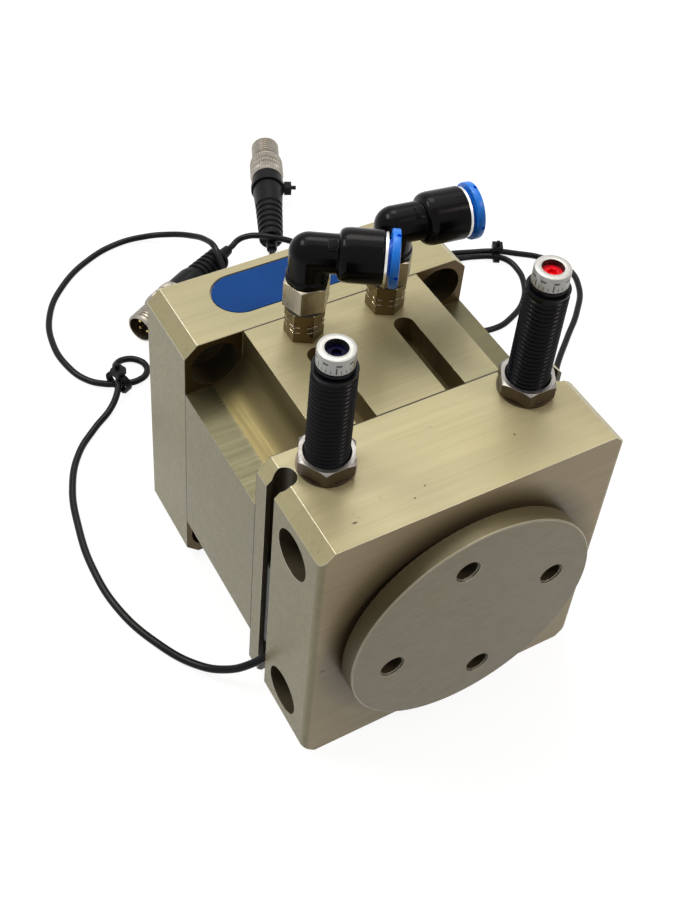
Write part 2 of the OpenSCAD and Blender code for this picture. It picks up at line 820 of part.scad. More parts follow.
// Children drawn round the swivel axis, with the outlet towards +X
module at_elbow(side) {
    at_port(side) rotate([0, 0, elbow_turn[side > 0 ? 1 : 0]]) children();
}

// Children drawn along +Z from the swivel axis, laid along the outlet
module at_outlet(side) {
    at_elbow(side) translate([0, 0, outlet_z]) rotate([0, 90, 0]) children();
}

module elbow(side) {
    edge = 0.5;
    foot_z = elbow_z + 0.3;
    skirt_h = 2;
    color(black) difference() {
        union() {
            at_elbow(side) translate([0, 0, foot_z]) rotate_extrude() polygon([
                [0, 0], [skirt_r, 0], [skirt_r, skirt_h - edge], [elbow_r, skirt_h],
                [elbow_r, outlet_z - foot_z], [0, outlet_z - foot_z]
            ]);
            at_elbow(side) translate([0, 0, outlet_z]) sphere(elbow_r);
            at_outlet(side) cylinder(h = socket_start + 1, r = neck_r);
            at_outlet(side) translate([0, 0, socket_start]) rotate_extrude() polygon([
                [0, 0], [socket_r - 1.6, 0], [socket_r - 0.7, edge], [socket_r - 0.2, 3 * edge],
                [socket_r, 6 * edge], [socket_r, socket_l - edge], [socket_r - edge, socket_l],
                [0, socket_l]
            ]);
        }
        at_elbow(side) rod_z(0, 0, swivel_r + swivel_gap, elbow_z, swivel_top + 0.3);
        at_elbow(side) rod_z(0, 0, elbow_air_r, elbow_z, outlet_z);
        at_outlet(side) {
            cylinder(h = socket_end + through, r = elbow_air_r);
            translate([0, 0, sleeve_start - 4]) cylinder(h = socket_l + through, r = tube_r);
            translate([0, 0, sleeve_start]) cylinder(h = socket_l, r = sleeve_r + clear);
        }
    }
}

module socket_ring(side) {
    color("silver") at_outlet(side) translate([0, 0, socket_end]) difference() {
        cylinder(h = mouth_ring_t, r = socket_r - 0.4);
        translate([0, 0, -through]) cylinder(h = mouth_ring_t + 2 * through, r = sleeve_r + clear);
    }
}

module release_collar(side) {
    sleeve_from = sleeve_start + collar_travel + 0.3;
    grip_end = collar_start + collar_t;
    edge = 0.4;
    color(blue) at_outlet(side) rotate_extrude() polygon([
        [tube_r, sleeve_from], [sleeve_r, sleeve_from], [sleeve_r, collar_start],
        [collar_r - edge, collar_start], [collar_r, collar_start + edge],
        [collar_r, grip_end - edge], [collar_r - edge, grip_end],
        [tube_r + edge, grip_end], [tube_r, grip_end - edge]
    ]);
}

// ---------------------------------------------------------------- sensors and leads

module sensor(side) {
    color(black) translate([side * sensor_x, sensor_y, sensor_foot]) {
        translate([0, 0, sensor_neck]) cylinder(h = sensor_l, r = sensor_r);
        cylinder(h = sensor_neck + clear, r = sensor_neck_r);
    }
}

function unit(v) = v / norm(v);
function heading(i) = [cos(plug_turn[i]), sin(plug_turn[i]), 0];
function plug_tail(i) = [plug_at[i][0], plug_at[i][1], plug_z];

// From the foot of a sensor down its bore and out through the slot
function lead_start(side) = [
    [side * sensor_x, sensor_y, sensor_foot],
    [side * sensor_x, sensor_y, sensor_foot - 1.4],
    [side * (sensor_x + 0.4), sensor_y, sensor_foot - 3.5],
    [side * (sensor_x + 1.4), sensor_y, sensor_foot - 5.3],
    [side * (sensor_x + 3), sensor_y, sensor_foot - 6.6]
];

function lead_points(i) = concat(
    lead_start(sides[i]), i == 0 ? route_left : route_right,
    [plug_tail(i) - 2.6 * heading(i), plug_tail(i)]
);

// Direction of travel at each point of a route
function tangents(p) = [
    for (i = [0 : len(p) - 1]) unit(p[min(i + 1, len(p) - 1)] - p[max(i - 1, 0)])
];

// One normal per point, turned as little as possible from each point to the next
function normals(t) = [
    for (i = 0, n = [0, 1, 0]; i < len(t);
        i = i + 1, n = i < len(t) ? unit(n - (n * t[i]) * t[i]) : n) unit(n - (n * t[i]) * t[i])
];

module lead(i) {
    n_sides = 8;
    p = lead_points(i);
    t = tangents(p);
    u = normals(t);
    rings = [
        for (k = [0 : len(p) - 1]) for (s = [0 : n_sides - 1])
            p[k] + cable_r * (cos(360 * s / n_sides) * u[k] + sin(360 * s / n_sides) * cross(t[k], u[k]))
    ];
    last = (len(p) - 1) * n_sides;
    color(black) polyhedron(rings, concat(
        [[for (s = [0 : n_sides - 1]) s]],
        [for (k = [0 : len(p) - 2]) for (s = [0 : n_sides - 1])
            let (a = k * n_sides, b = (s + 1) % n_sides)
            [a + s, a + n_sides + s, a + n_sides + b, a + b]],
        [[for (s = [n_sides - 1 : -1 : 0]) last + s]]
    ));
}

// Children drawn along +Z from the cable end of a plug
module at_plug(i) {
    translate(plug_tail(i)) rotate([0, 0, plug_turn[i]]) rotate([0, 90, 0]) children();
}

module plug_body(i) {
    l = plug_body_l[i];
    pitch = (l - relief_l - 1 - plug_smooth_l[i]) / plug_ribs;
    groove = 0.8;
    root_r = plug_r - 1.4;
    function rib_r(s) = root_r + (plug_r - root_r) * (s - relief_l) / (l - relief_l);
    color(black) at_plug(i) rotate_extrude() polygon(concat(
        [[0, 0], [relief_r[0], 0], [relief_r[1], relief_l], [root_r - 0.4, relief_l]],
        [for (k = [0 : plug_ribs - 1]) for (e = [[0.1, 0], [0.55, 0], [0.6, groove], [0.95, groove]])
            let (s = relief_l + 0.5 + (k + e[0]) * pitch) [rib_r(s) - e[1], s]],
        [[rib_r(l - plug_smooth_l[i]), l - plug_smooth_l[i]], [plug_r, l - 9], [plug_r, l + 3], [0, l + 3]]
    ));
}

module coupling_ring(i) {
    l = plug_body_l[i];
    edge = 0.4;
    inner = ring_thread_r - 1;
    knurl_end = l + ring_l;
    color("silver") at_plug(i) rotate_extrude() polygon([
        [plug_r, l], [ring_r - edge, l], [ring_r, l + edge], [ring_r, knurl_end - edge],
        [ring_r - edge, knurl_end], [ring_thread_r, knurl_end],
        [ring_thread_r, knurl_end + ring_thread_l - edge],
        [ring_thread_r - edge, knurl_end + ring_thread_l],
        [inner, knurl_end + ring_thread_l], [inner, l + 3], [plug_r, l + 3]
    ]);
}

module plug_insert(i) {
    l = plug_body_l[i];
    color(black) at_plug(i) translate([0, 0, l + 3])
        cylinder(h = ring_l + 4 - 3, r = ring_thread_r - 1);
}

module plug_pins(i) {
    l = plug_body_l[i];
    color("gold") at_plug(i) for (a = [45, 135, 225, 315])
        rotate(a) translate([2.4, 0, l + ring_l + 4]) cylinder(h = 5, r = 0.5);
}

// A strap round what it holds, with its lock on one side; drawn along +Z
module cable_tie(inner_w, inner_h, lock_turn) {
    linear_extrude(tie_w, center = true) difference() {
        strap_outline(inner_w / 2 + tie_t, inner_h / 2 + tie_t);
        strap_outline(inner_w / 2, inner_h / 2);
    }
    rotate(lock_turn) translate([inner_w / 2 + tie_t - 0.1, 0, 0]) {
        translate([0, -2, -2.1]) cube([3, 4, 4.2]);
        translate([0, -1, -0.6]) cube([5, 1.2, 1.2]);
    }
}

module strap_outline(a, b) {
    r = min(a, b);
    for (s = sides) translate([s * (a - r), s * (b - r)]) circle(r);
    square([2 * (a - r) + 0.01, 2 * r], center = true);
    square([2 * r, 2 * (b - r) + 0.01], center = true);
}

module lead_tie_left() {
    color(black) translate([-38.5, 106, 3.58]) rotate([0, 0, 25]) rotate([0, 90, 0])
        cable_tie(3.4 + 2 * cable_r, 6.6 + 2 * cable_r, 180);
}

module lead_tie_right() {
    color(black) translate([129.8, 107.5, 2.3]) rotate([0, 0, 150]) rotate([0, 90, 0])
        cable_tie(0.4 + 2 * cable_r, 4.7 + 2 * cable_r, 180);
}

module plug_tie() {
    color(black) at_plug(0) translate([0, 0, plug_body_l[0] - 6]) cable_tie(2 * plug_r, 2 * plug_r, -90);
}

front_block();
middle_housing();
rear_plate();
nameplate();
tie_screws();
output_flange();
stop_lever();
vane();
vane_strip();
drive_keys();
chamber_divider();
front_bearing();
rear_bearing();
shaft_seal();
sealing_rings();
absorber(-1);  // absorber_left
absorber(1);  // absorber_right
lock_nut(-1);  // lock_nut_left
lock_nut(1);  // lock_nut_right
nut_washers();
knob(-1);  // knob_left
knob(1);  // knob_right
knob_insert(-1);  // knob_insert_left
knob_insert(1);  // knob_insert_right
stop_rod(-1);  // stop_rod_left
stop_rod(1);  // stop_rod_right
port_adapter(-1);  // port_adapter_left
port_adapter(1);  // port_adapter_right
adapter_seals();
fitting_stem(-1);  // fitting_stem_left
fitting_stem(1);  // fitting_stem_right
elbow(-1);  // elbow_left
elbow(1);  // elbow_right
socket_ring(-1);  // socket_ring_left
socket_ring(1);  // socket_ring_right
release_collar(-1);  // release_collar_left
release_collar(1);  // release_collar_right
sensor(-1);  // sensor_left
sensor(1);  // sensor_right
lead(0);  // lead_left
lead(1);  // lead_right
plug_body(0);  // plug_body_left
plug_body(1);  // plug_body_right
coupling_ring(0);  // coupling_ring_left
coupling_ring(1);  // coupling_ring_right
plug_insert(0);  // plug_insert_left
plug_insert(1);  // plug_insert_right
plug_pins(0);  // plug_pins_left
plug_pins(1);  // plug_pins_right
lead_tie_left();
lead_tie_right();
plug_tie();
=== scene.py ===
import json
import math

import bmesh
import bpy
from mathutils import Matrix, Vector


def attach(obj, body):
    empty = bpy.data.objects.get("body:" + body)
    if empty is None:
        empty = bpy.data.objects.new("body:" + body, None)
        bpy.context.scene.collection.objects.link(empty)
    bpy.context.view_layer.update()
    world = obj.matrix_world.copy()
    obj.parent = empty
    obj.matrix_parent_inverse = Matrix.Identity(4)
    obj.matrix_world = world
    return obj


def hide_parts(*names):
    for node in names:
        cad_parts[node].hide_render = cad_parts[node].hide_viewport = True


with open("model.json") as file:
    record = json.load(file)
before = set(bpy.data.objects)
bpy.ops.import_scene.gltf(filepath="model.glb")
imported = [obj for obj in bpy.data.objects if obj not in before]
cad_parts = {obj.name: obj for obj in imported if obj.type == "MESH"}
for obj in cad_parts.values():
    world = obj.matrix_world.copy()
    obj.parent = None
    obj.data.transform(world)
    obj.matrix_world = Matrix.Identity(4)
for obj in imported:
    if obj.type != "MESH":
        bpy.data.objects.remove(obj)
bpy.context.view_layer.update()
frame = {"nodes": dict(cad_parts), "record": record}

MM = 0.001
SIDES = {"left": -1, "right": 1}

# The body in mm: its half width, its axis over the floor, its faces and seams along Y, its flange.
HALF_WIDTH = 47.5
AXIS_Z = 47.5
FRONT_Y, SEAM_FRONT, SEAM_REAR, REAR_Y = -53.25, -18.25, 26.75, 53.25
TOP_Z = AXIS_Z + HALF_WIDTH
FLANGE_R, FLANGE_FRONT = 38.9, FRONT_Y - 7

# Places of the shock absorbers in mm; the right one stands a little higher.
ABSORBER_X, ABSORBER_Y, ABSORBER_TOP = 31.7, -26.85, 132.9
STOP_OFFSET = {"left": 0, "right": 1.9}


def mm(*values):
    """Millimetres to metres."""
    return tuple(v * MM for v in values)


# ------------------------------------------------------------ camera

CAMERA_PLACE = mm(-157.5, -219.75, 365.5)
CAMERA_TURN = (46.66, -3.08, -28.48)
CAMERA_LENS = 54.2
CAMERA_SHIFT = (0.030, -0.1537)
CAMERA_RANGE = (0.02, 20)
SENSOR_WIDTH = 36

camera = bpy.data.objects.new("camera", bpy.data.cameras.new("camera"))
camera.location = CAMERA_PLACE
camera.rotation_euler = [math.radians(a) for a in CAMERA_TURN]
camera.data.lens = CAMERA_LENS
camera.data.sensor_width = SENSOR_WIDTH
camera.data.shift_x, camera.data.shift_y = CAMERA_SHIFT
camera.data.clip_start, camera.data.clip_end = CAMERA_RANGE
bpy.context.scene.collection.objects.link(camera)
bpy.context.scene.camera = camera
bpy.context.scene.view_settings.view_transform = "Standard"


# ------------------------------------------------------------ finishes

class Finish:
    """A material in object coordinates, put together from small steps."""

    def __init__(self, name, colour, roughness, metallic=0.0):
        self.material = bpy.data.materials.new(name)
        self.material.use_nodes = True
        self.tree = self.material.node_tree
        self.surface = self.tree.nodes["Principled BSDF"]
        self.surface.inputs["Base Color"].default_value = (*colour, 1)
        self.surface.inputs["Roughness"].default_value = roughness
        self.surface.inputs["Metallic"].default_value = metallic
        self.place = self.node("ShaderNodeTexCoord").outputs["Object"]

    def node(self, kind, **settings):
        made = self.tree.nodes.new(kind)
        for key, value in settings.items():
            setattr(made, key, value)
        return made

    def join(self, output, socket):
        self.tree.links.new(output, socket)

    def set(self, **values):
        """Sets inputs of the surface by name, with _ for each space."""
        for key, value in values.items():
            self.surface.inputs[key.replace("_", " ")].default_value = value
        return self

    def mapped(self, scale=(1, 1, 1), centre=(0, 0, 0)):
        """Coordinates from a centre, times a scale along each axis."""
        made = self.node("ShaderNodeMapping", vector_type="TEXTURE")
        made.inputs["Location"].default_value = centre
        made.inputs["Scale"].default_value = [1 / s for s in scale]
        self.join(self.place, made.inputs["Vector"])
        return made.outputs["Vector"]

    def noise(self, scale, detail, stretch=(1, 1, 1), rough=0.5):
        made = self.node("ShaderNodeTexNoise")
        made.inputs["Scale"].default_value = scale
        made.inputs["Detail"].default_value = detail
        made.inputs["Roughness"].default_value = rough
        self.join(self.mapped(stretch), made.inputs["Vector"])
        return made.outputs["Fac"]

    def spots(self, scale, size, soft):
        """1 in small scattered spots, 0 elsewhere."""
        made = self.node("ShaderNodeTexVoronoi")
        made.inputs["Scale"].default_value = scale
        self.join(self.mapped(), made.inputs["Vector"])
        return self.between(made.outputs["Distance"], size + soft, size)

    def near(self, centre, reach):
        """1 at a place, fading to 0 at its reach along each axis, in metres."""
        from_it = self.node("ShaderNodeVectorMath", operation="LENGTH")
        self.join(self.mapped([1 / r for r in reach], centre), from_it.inputs[0])
        return self.between(from_it.outputs["Value"], 1.0, 0.55)

    def between(self, value, low, high, to_low=0.0, to_high=1.0):
        """to_low where the value is low or beyond, to_high where it is high or beyond."""
        made = self.node("ShaderNodeMapRange", clamp=True)
        limits = {"From Min": low, "From Max": high, "To Min": to_low, "To Max": to_high}
        for key, limit in limits.items():
            made.inputs[key].default_value = limit
        self.join(value, made.inputs["Value"])
        return made.outputs["Result"]

    def math(self, operation, a, b=None):
        made = self.node("ShaderNodeMath", operation=operation)
        for socket, value in zip(made.inputs, (a, b)):
            if isinstance(value, (int, float)):
                socket.default_value = value
            elif value is not None:
                self.join(value, socket)
        return made.outputs[0]

    def length(self, a, b):
        """The length of a vector with the parts a and b."""
        squares = [self.math("MULTIPLY", part, part) for part in (a, b)]
        return self.math("SQRT", self.math("ADD", *squares))

    def parts(self, vector):
        """The X, Y and Z of a vector."""
        split = self.node("ShaderNodeSeparateXYZ")
        self.join(vector, split.inputs["Vector"])
        return [split.outputs[axis] for axis in "XYZ"]

    def tint(self, mask, colour):
        """Blends the colour so far into another one where mask is 1."""
        made = self.node("ShaderNodeMix", data_type="RGBA")
        into = self.surface.inputs["Base Color"]
        if into.is_linked:
            self.join(into.links[0].from_socket, made.inputs[6])
        else:
            made.inputs[6].default_value = into.default_value
        made.inputs[7].default_value = (*colour, 1)
        self.join(mask, made.inputs[0])
        self.join(made.outputs[2], into)
        return self

    def sheen_of(self, mask, low, high):
        """Roughness from low to high with a mask."""
        self.join(self.between(mask, 0.3, 0.7, low, high), self.surface.inputs["Roughness"])
        return self

    def relief(self, height, strength, depth):
        """A bump of a height, up to depth in metres, on top of the relief so far."""
        made = self.node("ShaderNodeBump")
        made.inputs["Strength"].default_value = strength
        made.inputs["Distance"].default_value = depth
        self.join(height, made.inputs["Height"])
        into = self.surface.inputs["Normal"]
        if into.is_linked:
            self.join(into.links[0].from_socket, made.inputs["Normal"])
        self.join(made.outputs["Normal"], into)
        return self


def scaled(colour, k):
    return tuple(c * k for c in colour)


ANODISED = (0.50, 0.443, 0.255)
DIRT = (0.10, 0.085, 0.06)
SCUFF = (0.26, 0.23, 0.15)
# Painted shade in a thin line along each seam between the blocks.
SEAM_SHADE = (0.035, 0.028, 0.018)
NICK = (0.07, 0.055, 0.035)
# Painted shade on the front face round the flange.
FLANGE_SHADE = (0.055, 0.036, 0.018)
SEAMS_Y = mm(SEAM_FRONT, SEAM_REAR)
# How far the painted shade along a seam and the painted shade round the flange reach, and where
# each is full.
SEAM_SHADE_REACH = mm(0.34, 0.16)
FLANGE_SHADE_REACH = mm(47, 39)
# Centre and reach of each nick in the body's skin.
NICKS = (
    (mm(-34.5, -46.9, TOP_Z), mm(0.9, 0.35, 1)),
    (mm(-12.2, -44.4, TOP_Z), mm(0.35, 0.3, 1)),
    (mm(-16.7, -46.8, TOP_Z), mm(0.4, 0.3, 1)),
    (mm(19, -40, TOP_Z), mm(0.3, 0.4, 1)),
    (mm(-43.6, -53.2, 42.5), mm(1.2, 1, 0.4)),
)


def anodised(name, base, roughness=0.36, metallic=0.14, brush=(0.03, 1, 1), grain=0.16):
    """Satin champagne anodising over aluminium, brushed along the axis where brush is small."""
    f = Finish(name, base, roughness, metallic).set(Specular_IOR_Level=0.3)
    strokes = f.noise(900, 4, brush, 0.65)
    long_strokes = f.noise(260, 2, brush, 0.5)
    cloud = f.noise(22, 3)
    f.tint(f.between(strokes, 0.35, 0.75), scaled(base, 0.86))
    f.tint(f.between(long_strokes, 0.45, 0.8, 0, 0.6), scaled(base, 1.10))
    red, green, blue = base
    f.tint(f.between(cloud, 0.45, 0.75, 0, 0.5), (red * 0.92, green * 0.94, blue * 1.05))
    f.sheen_of(strokes, roughness - 0.05, roughness + 0.09)
    f.relief(strokes, grain, 0.00002)
    return f


def block_finish(name, shade, warmth=1.0):
    """The body's finish with painted shade along its seams and round the flange, and small nicks.
    """
    red, green, blue = scaled(ANODISED, shade)
    f = anodised(name, (red * warmth, green, blue))
    f.tint(f.spots(110, 0.010, 0.01), DIRT)
    f.tint(f.between(f.noise(340, 2), 0.70, 0.78, 0, 0.35), SCUFF)
    x, y, height = f.parts(f.place)
    z = f.math("SUBTRACT", height, AXIS_Z * MM)
    skin = f.math("MAXIMUM", f.math("ABSOLUTE", x), f.math("ABSOLUTE", z))
    outside = f.math("GREATER_THAN", skin, (HALF_WIDTH - 0.4) * MM)
    # Painted shade along each seam, on the outer skin only.
    for seam in SEAMS_Y:
        off = f.math("ABSOLUTE", f.math("SUBTRACT", y, seam))
        f.tint(f.math("MULTIPLY", f.between(off, *SEAM_SHADE_REACH), outside), SEAM_SHADE)
    for centre, reach in NICKS:
        f.tint(f.near(centre, reach), NICK)
    # Painted shade on the front face, darkest next to the flange and fading outwards.
    ring = f.between(f.length(x, z), *FLANGE_SHADE_REACH, 0, 0.72)
    in_front = f.math("LESS_THAN", y, (FRONT_Y + 0.25) * MM)
    f.tint(f.math("MULTIPLY", ring, in_front), FLANGE_SHADE)
    f.relief(f.noise(2600, 2), 0.10, 0.00001)
    return f.material


def steel(name, colour, roughness, metallic=1.0):
    """Bare or plated metal with a fine grain and a few darker patches."""
    f = Finish(name, colour, roughness, metallic)
    grain = f.noise(700, 4, (1, 1, 0.15), 0.6)
    f.tint(f.between(grain, 0.4, 0.8), scaled(colour, 0.78))
    f.tint(f.between(f.noise(160, 3), 0.55, 0.7, 0, 0.5), scaled(colour, 0.62))
    f.sheen_of(grain, roughness - 0.05, roughness + 0.1)
    f.relief(grain, 0.15, 0.00002)
    return f.material


def plastic(name, colour, roughness, grain, scale=1600, specular=0.5):
    """Plastic, rubber or black oxide with a fine grain and paler specks."""
    f = Finish(name, colour, roughness)
    fine = f.noise(scale, 3)
    f.tint(f.between(f.noise(90, 3), 0.4, 0.8, 0, 0.5), scaled(colour, 1.25))
    f.tint(f.between(f.noise(600, 2), 0.66, 0.72, 0, 0.25), scaled(colour, 1.9))
    f.sheen_of(fine, roughness - 0.06, roughness + 0.07)
    f.relief(fine, grain, 0.00003)
    f.set(Specular_IOR_Level=specular)
    return f.material


body_finish = block_finish("champagne_brushed", 1.0)
housing_finish = block_finish("champagne_housing", 0.86)
rear_finish = block_finish("champagne_rear", 0.86)
# The front face a little lighter and warmer than the rest: painted light.
front_lit_finish = block_finish("champagne_front", 1.05, warmth=1.10)
# The sides of the front block and the housing darker than their tops: painted shade.
front_side_shaded = block_finish("champagne_front_side", 0.80)
housing_side_shaded = block_finish("champagne_housing_side", 0.76)
flange_finish = anodised(
    "champagne_flange", (0.40, 0.35, 0.225), 0.36, 0.12, (0.3, 1, 1)
).material
# The coves' fillets, floors and end walls far darker than the body: painted shade in the recesses.
cove_shaded = anodised(
    "champagne_milled_cove", (0.165, 0.133, 0.058), 0.42, 0.85, (1, 0.04, 1), grain=0.06
).material
cove_floor_shaded = anodised(
    "champagne_cove_floor", (0.12, 0.108, 0.056), 0.30, 0.45, (0.04, 1, 1), grain=0.06
).material
cove_end_shaded = anodised(
    "champagne_cove_end", (0.09, 0.056, 0.02), 0.34, 0.7, (0.04, 1, 1), grain=0.06
).material
# The flange's turned rim far darker than its face: painted shade.
rim_shaded = anodised(
    "champagne_turned_rim", (0.16, 0.133, 0.068), 0.42, 0.2, (0.06, 1, 0.06), grain=0.06
).material
steel_finish = steel("dark_nut_steel", (0.11, 0.085, 0.065), 0.30)
# The lock nuts' tops lighter than their sides: painted light.
nut_top_lit = steel("nut_top_steel", (0.25, 0.235, 0.225), 0.36)
tool_steel = steel("inner_steel", (0.42, 0.40, 0.37), 0.32)
nickel_finish = steel("nickel_brass", (0.50, 0.445, 0.35), 0.25)
chrome_finish = steel("rod_chrome", (0.78, 0.78, 0.79), 0.14)
gold_finish = steel("pin_gold", (0.83, 0.58, 0.20), 0.25)
# Holes, slots, the sensor groove and the edges of the nameplate's recess darker: painted shade.
bore_shade = steel("bore_dark_brown", (0.085, 0.068, 0.038), 0.42, 0.2)
groove_shade = steel("groove_brown", (0.17, 0.125, 0.05), 0.42, 0.2)
# Bright broken edges of the body: bare worn metal and a painted highlight.
edge_highlight = steel("edge_bright", (0.74, 0.71, 0.58), 0.30, 0.7)
ring_finish = steel("ring_nickel", (0.37, 0.335, 0.29), 0.30)
mouth_finish = steel("mouth_ring_steel", (0.80, 0.79, 0.76), 0.26)
black_oxide = plastic("absorber_black_oxide", (0.004, 0.004, 0.007), 0.22, 0.05, specular=0.10)
black_elbow = plastic("elbow_black", (0.003, 0.002, 0.003), 0.17, 0.04, specular=0.09)
black_plug = plastic("plug_black", (0.006, 0.006, 0.008), 0.36, 0.10, specular=0.10)
black_lead = plastic("lead_black", (0.006, 0.006, 0.008), 0.26, 0.03, 1100, specular=0.14)
black_tie = plastic("tie_black", (0.005, 0.005, 0.007), 0.34, 0.08, specular=0.10)
rubber_finish = plastic("seal_rubber_black", (0.016, 0.015, 0.015), 0.6, 0.14)
sensor_finish = plastic("sensor_black", (0.015, 0.015, 0.017), 0.45, 0.06)
blue_collar = plastic("collar_blue", (0.010, 0.215, 0.90), 0.30, 0.03, specular=0.35)
plate_finish = plastic("nameplate_blue", (0.010, 0.062, 0.255), 0.48, 0.03, 900, specular=0.05)
blue_insert = plastic("insert_dark_blue", (0.003, 0.002, 0.025), 0.30, 0.02, specular=0.05)
red_insert = plastic("insert_red", (0.90, 0.008, 0.022), 0.30, 0.02, specular=0.15)


# Rings of marks on a knob: how many, how much of its pitch each fills, lowest and highest point.
KNOB_MARKS = ((24, 0.16, 0.6, 1.7), (6, 0.07, 0.6, 2.7), (9, 0.42, 3.0, 3.6))
KNOB_SKIN_R, KNOB_MOUTH_R = 4.85, 3.05
INK, KNOB_BORE_SHADE = (0.03, 0.03, 0.035), (0.012, 0.011, 0.016)


def marked_knob(name):
    """Turned aluminium with rings of engraved scale marks round its foot and painted shade down its
    bore.
    """
    f = Finish(f"knob_marks_{name}", (0.55, 0.55, 0.53), 0.34, 0.30)
    centre = mm(SIDES[name] * ABSORBER_X, ABSORBER_Y, ABSORBER_TOP + STOP_OFFSET[name])
    x, y, z = f.parts(f.mapped(centre=centre))
    turn = f.math("ARCTAN2", y, x)
    radius = f.length(x, y)
    inked_skin = f.math("MULTIPLY", f.math("GREATER_THAN", radius, KNOB_SKIN_R * MM), 0.95)
    # Painted shade down the bore.
    f.tint(f.math("LESS_THAN", radius, KNOB_MOUTH_R * MM), KNOB_BORE_SHADE)
    for count, width, low, high in KNOB_MARKS:
        phase = f.math("FRACT", f.math("MULTIPLY", turn, count / math.tau))
        tick = f.math("LESS_THAN", phase, width)
        above, below = f.math("GREATER_THAN", z, low * MM), f.math("LESS_THAN", z, high * MM)
        mark = f.math("MULTIPLY", tick, f.math("MULTIPLY", above, below))
        f.tint(f.math("MULTIPLY", mark, inked_skin), INK)
    grain = f.noise(900, 3, (1, 1, 6), 0.6)
    f.tint(f.between(grain, 0.5, 0.8, 0, 0.5), (0.48, 0.48, 0.47))
    f.sheen_of(grain, 0.26, 0.40)
    f.relief(grain, 0.08, 0.00002)
    return f.material


knob_finish = {name: marked_knob(name) for name in SIDES}
adapter_finish = steel("adapter_brass", (0.17, 0.125, 0.065), 0.17)
# Bright broken edges of the adapters: painted glints.
brass_edge_glint = steel("adapter_edge", (0.80, 0.70, 0.52), 0.20)

# ------------------------------------------------------------ pieces

# How near points are welded, how flat a bend is dissolved, how near a seam no edge is bright.
WELD, CUT_WELD = 0.002 * MM, 1e-7
FLAT_ANGLE = math.radians(0.4)
SEAM_BAND = 0.5 * MM
FLATS, EDGES = 0, 1    # material slots of a piece's flats and of its broken edges


def lay_down(name, bm, body, finish, replaces=(), angle=32, recalculate=True):
    """Makes an object of a bmesh, with its sharp edges marked, riding on a body."""
    if recalculate:
        bmesh.ops.recalc_face_normals(bm, faces=bm.faces)
    for face in bm.faces:
        face.smooth = True
    for edge in bm.edges:
        edge.smooth = len(edge.link_faces) == 2 and edge.calc_face_angle(0) < math.radians(angle)
    mesh = bpy.data.meshes.new(name)
    bm.to_mesh(mesh)
    bm.free()
    piece = bpy.data.objects.new(name, mesh)
    bpy.context.scene.collection.objects.link(piece)
    mesh.materials.append(finish)
    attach(piece, body)
    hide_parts(*replaces)
    return piece


def eased(node, body, finish, width, angle=28, edge_highlight=None, cuts=()):
    """A copy of a CAD node with its sharp edges broken, its flats parted at the cutting planes.

    The broken edges have a bright edge finish, a painted highlight, where one is given, apart from
    those along the seams.
    """
    bm = bmesh.new()
    bm.from_mesh(frame["nodes"][node].data)
    bmesh.ops.remove_doubles(bm, verts=bm.verts, dist=WELD)
    bmesh.ops.dissolve_limit(
        bm, angle_limit=FLAT_ANGLE, verts=bm.verts, edges=bm.edges, use_dissolve_boundaries=False
    )
    sharp = [
        e for e in bm.edges
        if len(e.link_faces) == 2 and e.calc_face_angle(0) > math.radians(angle)
    ]
    broken = bmesh.ops.bevel(
        bm, geom=sharp, offset=width * MM, offset_type="OFFSET", affect="EDGES",
        segments=2, profile=0.5, material=-1, clamp_overlap=True
    )
    if edge_highlight:
        for face in broken["faces"]:
            from_seam = min(abs(face.calc_center_median().y - y) for y in SEAMS_Y)
            face.material_index = EDGES if from_seam > SEAM_BAND else FLATS
    for place, normal in cuts:
        bmesh.ops.bisect_plane(
            bm, geom=bm.verts[:] + bm.edges[:] + bm.faces[:], dist=CUT_WELD,
            plane_co=mm(*place), plane_no=normal
        )
    piece = lay_down(node + "_eased", bm, body, finish, [node], angle=50, recalculate=False)
    if edge_highlight:
        piece.data.materials.append(edge_highlight)
    flat = piece.modifiers.new("flat_faces", "WEIGHTED_NORMAL")
    flat.keep_sharp = True
    return piece


def finish_part(piece, finish, places, kinds):
    """Gives the faces of some kinds that lie in one of the places their own finish."""
    piece.data.materials.append(finish)
    own = len(piece.data.materials) - 1
    for face in piece.data.polygons:
        x, y, z = face.center / MM
        from_axis = abs(x), y, abs(z - AXIS_Z)
        if face.material_index in kinds and any(inside(*from_axis) for inside in places):
            face.material_index = own


def turned(profile, steps, closed=True):
    """Spins a profile of (radius, height) in mm round the Z axis."""
    bm = bmesh.new()
    points = [bm.verts.new(mm(r, 0, z)) for r, z in profile]
    around = list(zip(points, points[1:] + ([points[0]] if closed else [])))
    edges = [bm.edges.new(pair) for pair in around]
    bmesh.ops.spin(
        bm, geom=points + edges, cent=(0, 0, 0), axis=(0, 0, 1),
        angle=math.tau, steps=steps, use_merge=True
    )
    bmesh.ops.remove_doubles(bm, verts=bm.verts, dist=WELD / 2)
    return bm


COIL_STEPS = 36


